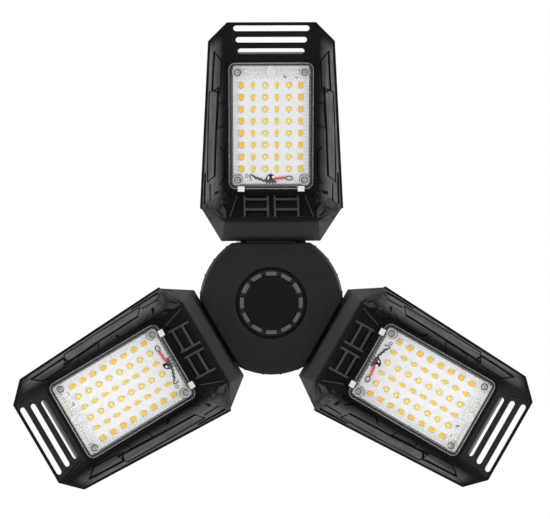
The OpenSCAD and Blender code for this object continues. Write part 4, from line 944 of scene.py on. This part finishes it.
class GARAGE_LIGHT_OT_light_engines(bpy.types.Operator):
    """White boards with their light packages, pads, marks and wires"""

    bl_idname = "garage_light.light_engines"
    bl_label = "Light Boards"

    # Each column of packages, from +v to -v: length across the panel, length along it, corner radius, slot of
    # its face (1 yellow, 2 orange), whether its middle is pale, and its dark spots as (u, v, du, dv)
    COLUMNS = (
        (3.0, 3.2, 0.3, 2, False, ((-2.2, 0.0, 0.3, 1.5), (1.2, 2.0, 0.7, 0.45), (-1.2, 2.0, 0.6, 0.45))),
        (2.2, 3.4, 1.0, 1, False, ((-2.3, 0.1, 0.45, 0.9),)),
        (3.4, 2.9, 1.2, 1, True, ((-2.15, 0.5, 0.35, 0.6), (-2.15, -0.6, 0.35, 0.6))),
        (2.1, 3.5, 0.9, 1, False, ((-2.35, 0.0, 0.35, 0.9),)),
        (3.5, 2.8, 1.2, 1, True, ((-2.1, 0.0, 0.3, 1.3),)),
        (2.7, 3.4, 0.5, 2, False, ((-2.25, 0.0, 0.3, 1.2),)),
    )
    FRAME_EDGE = 0.35
    FACE_H = 0.7

    # Gold pads at the outer end: the rows' u, and the v of a block's first pad with its count and direction
    PAD_ROWS = (112.9, 114.3)
    PAD_PITCH = 1.45
    PAD_BLOCKS = ((4.9, 7, 1), (-6.2, 8, -1))

    # Printed marks as (u, v, du, dv), and the printed ring
    MARKS = ((109.8, -8.3, 1.9, 1.1), (109.4, -9.0, 0.7, 1.9), (109.0, -15.6, 0.6, 2.0))
    RING_PLACE = (47.6, 15.0, BOARD_W)

    # Plug at the hub end, and its feet
    PLUG_U = 44.0
    FEET_U, FEET_PITCH, FEET_COUNT = 42.9, 1.93, 4

    def rows(self, u, v):
        """Places on the board at (u, v), shaped so that a grid added to them is copied to each."""
        u, v = np.broadcast_arrays(u, v)
        return np.stack([u, v, np.full(u.shape, BOARD_W)], -1)[:, None, None, :]

    def packages(self, panel):
        """Light packages of one panel: rounded white bodies with a low yellow dome in each, pale middles on
        the round ones, and dark spots beside them."""
        shape = Shape()
        row = LED_MID + LED_PITCH_U * (np.arange(LED_ROWS) - (LED_ROWS - 1) / 2)
        face_h = self.FACE_H
        for column, (wide, long, corner, slot, pale, spots) in enumerate(self.COLUMNS):
            places = self.rows(row, LED_PITCH_V * ((len(self.COLUMNS) - 1) / 2 - column))
            edge = self.FRAME_EDGE
            outline = (long + 2 * edge, wide + 2 * edge, corner + edge)
            body = loft(outline, [(0, 0), (0, 0.6), (0.08, face_h), (0.22, face_h - 0.04)], 2)
            shape.grid(on_panel(body + places, panel))
            face = loft((long, wide, corner), [(0, face_h - 0.06), (0.25, face_h - 0.01), (0.6, face_h)], 2)
            shape.grid(on_panel(face + places, panel), slot=slot, caps=(False, True))
            if pale:
                middle = loft((1.5, 1.7, 0.7), [(0, face_h), (0.2, face_h + 0.04)], 2)
                shape.grid(on_panel(middle + places, panel), slot=3, caps=(False, True))
            for du, dv, long_u, long_v in spots:
                spot = loft((long_u, long_v, 0.12), [(0, 0), (0.03, 0.1)], 2) + [du, dv, 0]
                shape.grid(on_panel(spot + places, panel), slot=4, caps=(False, True))
        return shape

    def marks(self, panel):
        """Two blocks of small gold pads at the outer end, and the printed marks in ink."""
        shape = Shape()
        pad = loft((0.95, 0.95, 0.2), [(0, 0), (0, 0.1), (0.08, 0.14)], 2)
        v = [start + way * self.PAD_PITCH * np.arange(count) for start, count, way in self.PAD_BLOCKS]
        for u in self.PAD_ROWS:
            shape.grid(on_panel(pad + self.rows(u, np.concatenate(v)), panel), caps=(False, True))
        for u, v, du, dv in self.MARKS:
            bar = loft((du, dv, 0.08), [(0, 0.01), (0.03, 0.06)], 2) + [u, v, BOARD_W]
            shape.grid(on_panel(bar, panel), slot=1, caps=(False, True))
        ring = revolve([(0.7, 0), (1.15, 0), (1.15, 0.06), (0.7, 0.06)], 24) + self.RING_PLACE
        shape.grid(on_panel(ring, panel), slot=1, wrap_rows=True)
        return shape

    def wires(self, radius):
        """Paths of the thin wires at the hub end, in panel coordinates, with their radius and slot."""
        w = BOARD_W + radius + 0.05
        t = np.linspace(0, 1, 40)
        curl = 2 * np.pi * t
        black = np.column_stack(
            [47.1 - 2.8 * t + 0.6 * np.sin(3.5 * curl), 11.0 - 7.6 * t, w + 0.1 * np.cos(curl)]
        )
        red = np.column_stack([45.7 + 0.9 * t + 0.35 * np.sin(4 * curl), -0.8 - 8.2 * t, w + 0.3 + 0 * t])
        knot = np.column_stack([46.2 + 1.3 * np.sin(curl), -11.3 - 1.9 * np.cos(curl), w + 0.5 * t])
        loop = [[44.2, 2.7], [45.9, 2.8], [47.6, 1.9], [48.4, 0.3], [47.9, -1.4]]
        loop = np.column_stack([smooth_path(loop, 30), np.full(30, w)])
        tail = [[47.1, 11.0], [48.6, 11.9], [47.9, 12.9], [46.0, 12.7], [44.8, 12.2]]
        tail = np.column_stack([smooth_path(tail, 24), np.full(24, w)])
        return (
            (black, radius, 1),
            (tail, radius * 0.6, 1),
            (loop, radius * 1.05, 1),
            (red, radius * 1.35, 2),
            (knot, radius * 0.6, 1),
        )

    def plug(self, panel, wire_radius):
        """Low black plug with its feet, in place of the plain connector block, and the thin wires."""
        shape = Shape()
        block = loft((1.5, 6.4, 0.3), [(0, 0), (0, 0.9), (0.12, 1.05)], 2) + [self.PLUG_U, 0, BOARD_W]
        shape.grid(on_panel(block, panel), caps=(True, True))
        foot = loft((1.6, 0.75, 0.15), [(0, 0), (0, 0.4), (0.08, 0.5)], 2)
        feet_v = self.FEET_PITCH * ((self.FEET_COUNT - 1) / 2 - np.arange(self.FEET_COUNT))
        feet = self.rows(self.FEET_U, feet_v)
        shape.grid(on_panel(foot + feet, panel), caps=(True, True))
        for path, radius, slot in self.wires(wire_radius):
            shape.grid(on_panel(tube(path, radius), panel), slot=slot, caps=(True, True))
        return shape

    def execute(self, context):
        size, tint = sizes(context), colours(context)
        white = plain_finish("package_finish", tint["package"], 0.35, 3.0)
        yellow = plain_finish("phosphor_finish", tint["phosphor"], 0.35, 1.2, spread=0.15)
        orange = plain_finish("warm_phosphor_finish", tint["warm_phosphor"], 0.35, 1.2, spread=0.15)
        pale = plain_finish("pale_phosphor_finish", tint["pale_phosphor"], 0.35, 1.2)
        # Dark grey spots beside the packages
        solder = plain_finish("solder_finish", (0.12, 0.115, 0.10), 0.4)
        faces = [white, yellow, orange, pale, solder]
        gold = metal("pad_finish", tint["gold"], 0.3)
        ink = plain_finish("ink_finish", (0.01, 0.01, 0.01), 0.6)
        plastic = plain_finish("plug_finish", tint["black"], 0.5, specular_ior_level=0.1)
        black = plain_finish("wire_black_finish", tint["black"], 0.5, specular_ior_level=0.1)
        red = plain_finish("wire_red_finish", tint["red"], 0.35)
        for panel in PANELS:
            leds = self.packages(panel).build(f"light_packages_{panel}", faces)
            hand_over(leds, f"panel_{panel}", "led_phosphor", f"leds_{panel}")
            marks = self.marks(panel).build(f"board_marks_{panel}", [gold, ink])
            hand_over(marks, f"panel_{panel}", "board_white")
            plug = self.plug(panel, size["wire_radius"]).build(f"wire_plug_{panel}", [plastic, black, red])
            hand_over(plug, f"panel_{panel}", "connector_black", f"board_connector_{panel}")
            finish_node(f"led_board_{panel}", board_finish(f"board_finish_{panel}", tint["board"], panel))
        return {"FINISHED"}


class GARAGE_LIGHT_OT_stage(bpy.types.Operator):
    """Pale floor, soft studio light and the camera"""

    bl_idname = "garage_light.stage"
    bl_label = "Stage"

    # Soft lamps: name, place in metres, share of the lamp power and share of the lamp size
    LAMPS = (
        ("lamp_left", (1.15, 0.05, -0.9), 0.75, 1.0),
        ("lamp_right", (-1.15, 0.05, -0.9), 0.75, 1.0),
        ("lamp_low", (0.0, -1.1, -1.05), 0.8, 1.0),
        ("lamp_side_left", (1.3, 0.1, 0.0), 2.0, 0.5),
        ("lamp_side_right", (-1.3, 0.1, 0.0), 2.0, 0.5),
        ("lamp_side_high_left", (1.13, 0.65, -0.4), 0.9, 0.5),
        ("lamp_side_high_right", (-1.13, 0.65, -0.4), 0.9, 0.5),
        ("lamp_above", (0.05, 0.0, 1.5), 0.5, 1.0),
    )
    LAMP_AIM = (0, 0, -0.1)

    # The camera's place in metres, and the directions that are right and up in its picture
    CAMERA_PLACE = (0.02835, 0.04493, -1.51)
    CAMERA_RIGHT = (-0.99975, -0.00422, -0.02185)
    CAMERA_UP = (-0.0045, 0.99991, 0.0126)

    # The floor in millimetres: its level, its radius, and where its far edge starts to curl up
    FLOOR_Z = -1800
    FLOOR_R = 40000
    CURL_R = 20000

    def execute(self, context):
        scene, stage = context.scene, context.scene.garage_light_stage
        scene.view_settings.view_transform = "Standard"
        self.world(scene, stage)
        self.floor()
        for lamp in self.LAMPS:
            self.lamp(scene, stage, *lamp)
        self.camera(scene, stage)
        return {"FINISHED"}

    def stand(self, right, up, place):
        """Matrix of an object at place with the given directions right and up, made square to each other."""
        right = np.asarray(right, float) / np.linalg.norm(right)
        up = up - right * (up @ right)
        up /= np.linalg.norm(up)
        turn = np.column_stack([right, up, np.cross(right, up), place])
        return Matrix([*turn.tolist(), [0, 0, 0, 1]])

    def lamp(self, scene, stage, name, place, power, size):
        """Square soft lamp that faces the lit side of the hub, unseen by the camera."""
        data = bpy.data.lights.new(name, "AREA")
        data.shape, data.energy, data.size = "SQUARE", stage.lamp_power * power, stage.lamp_size * size
        lamp = bpy.data.objects.new(name, data)
        scene.collection.objects.link(lamp)
        back = np.subtract(place, self.LAMP_AIM)
        right = np.cross([0, 0, 1], back)
        lamp.matrix_world = self.stand(right, np.cross(back, right), place)
        lamp.visible_camera = False

    def world(self, scene, stage):
        """White for the camera, in reflections and through clear plastic; an even grey light for the rest."""
        world = bpy.data.worlds.new("studio")
        scene.world = world
        world.use_nodes = True
        nodes, links = world.node_tree.nodes, world.node_tree.links
        nodes.clear()
        light, white = (nodes.new("ShaderNodeBackground") for _ in range(2))
        for background, strength in ((light, stage.world_level), (white, 1.0)):
            background.inputs["Color"].default_value = (1, 1, 1, 1)
            background.inputs["Strength"].default_value = strength
        path = nodes.new("ShaderNodeLightPath")
        seen = path.outputs["Is Camera Ray"]
        for kind in ("Is Glossy Ray", "Is Transmission Ray"):
            either = nodes.new("ShaderNodeMath")
            either.operation = "MAXIMUM"
            links.new(seen, either.inputs[0])
            links.new(path.outputs[kind], either.inputs[1])
            seen = either.outputs[0]
        mix, out = nodes.new("ShaderNodeMixShader"), nodes.new("ShaderNodeOutputWorld")
        for socket, source in zip(mix.inputs, (seen, light.outputs[0], white.outputs[0])):
            links.new(source, socket)
        links.new(mix.outputs[0], out.inputs["Surface"])

    def floor(self):
        """Pale round floor below the camera, whose far edge curls up slightly. Camera and mirror rays see it
        mostly white, with a part of the true light and shadow on it."""
        r = np.geomspace(200, self.FLOOR_R, 40)
        curl = 0.00002 * np.maximum(r - self.CURL_R, 0) ** 2
        paint = Paint("floor_finish")
        cloud = paint.noise(paint.place(), 0.2, 2.0)
        paint.set(
            base_color=paint.blend(cloud, (0.93, 0.93, 0.93), (0.96, 0.96, 0.96)),
            roughness=cloud * 0.1 + 0.7,
        )
        camera_ray, glossy_ray = (
            paint.add("ShaderNodeLightPath", output=kind) for kind in ("Is Camera Ray", "Is Glossy Ray")
        )
        white = paint.add("ShaderNodeEmission", None, {"Strength": 1.0})
        paint.mix_over(white, 1.0 - camera_ray.largest(glossy_ray) * 0.8)
        sheet = revolve(np.column_stack([r, curl + self.FLOOR_Z]), 72)
        floor = Shape().grid(sheet, caps=(True, False)).build("floor", [paint.material])

    def camera(self, scene, stage):
        """Camera below the lamp, looking up along its axis as in the photograph."""
        data = bpy.data.cameras.new("view")
        data.sensor_width, data.lens = 36.0, stage.focal
        data.clip_start, data.clip_end = 0.05, 50
        camera = bpy.data.objects.new("view", data)
        scene.collection.objects.link(camera)
        camera.matrix_world = self.stand(self.CAMERA_RIGHT, self.CAMERA_UP, self.CAMERA_PLACE)
        scene.camera = camera


PIECES = (
    GARAGE_LIGHT_OT_screw_base,
    GARAGE_LIGHT_OT_hub,
    GARAGE_LIGHT_OT_inside,
    GARAGE_LIGHT_OT_hoods,
    GARAGE_LIGHT_OT_lenses,
    GARAGE_LIGHT_OT_light_engines,
    GARAGE_LIGHT_OT_stage,
)


class GARAGE_LIGHT_PT_panel(bpy.types.Panel):
    """Sidebar panel that lists the pieces and their settings"""

    bl_idname = "GARAGE_LIGHT_PT_panel"
    bl_label = "Garage Light"
    bl_space_type = "VIEW_3D"
    bl_region_type = "UI"
    bl_category = "Garage Light"

    def draw(self, context):
        for operator in PIECES:
            self.layout.operator(operator.bl_idname)
        for group in (
            context.scene.garage_light_sizes,
            context.scene.garage_light_colours,
            context.scene.garage_light_stage,
        ):
            box = self.layout.box()
            for key in group.__annotations__:
                box.prop(group, key)


GROUPS = {
    "garage_light_sizes": GarageLightSizes,
    "garage_light_colours": GarageLightColours,
    "garage_light_stage": GarageLightStage,
}


def register():
    """Makes the settings, the operators and the sidebar panel known to Blender."""
    for cls in (*GROUPS.values(), *PIECES, GARAGE_LIGHT_PT_panel):
        bpy.utils.register_class(cls)
    for key, group in GROUPS.items():
        setattr(bpy.types.Scene, key, bpy.props.PointerProperty(type=group))


def unregister():
    """Takes away what register added."""
    for key in GROUPS:
        delattr(bpy.types.Scene, key)
    for cls in (GARAGE_LIGHT_PT_panel, *reversed(PIECES), *reversed(GROUPS.values())):
        bpy.utils.unregister_class(cls)


def main():
    """Builds every piece and the stage."""
    register()
    for operator in PIECES:
        category, name = operator.bl_idname.split(".")
        getattr(getattr(bpy.ops, category), name)()


if __name__ == "__main__":
    main()
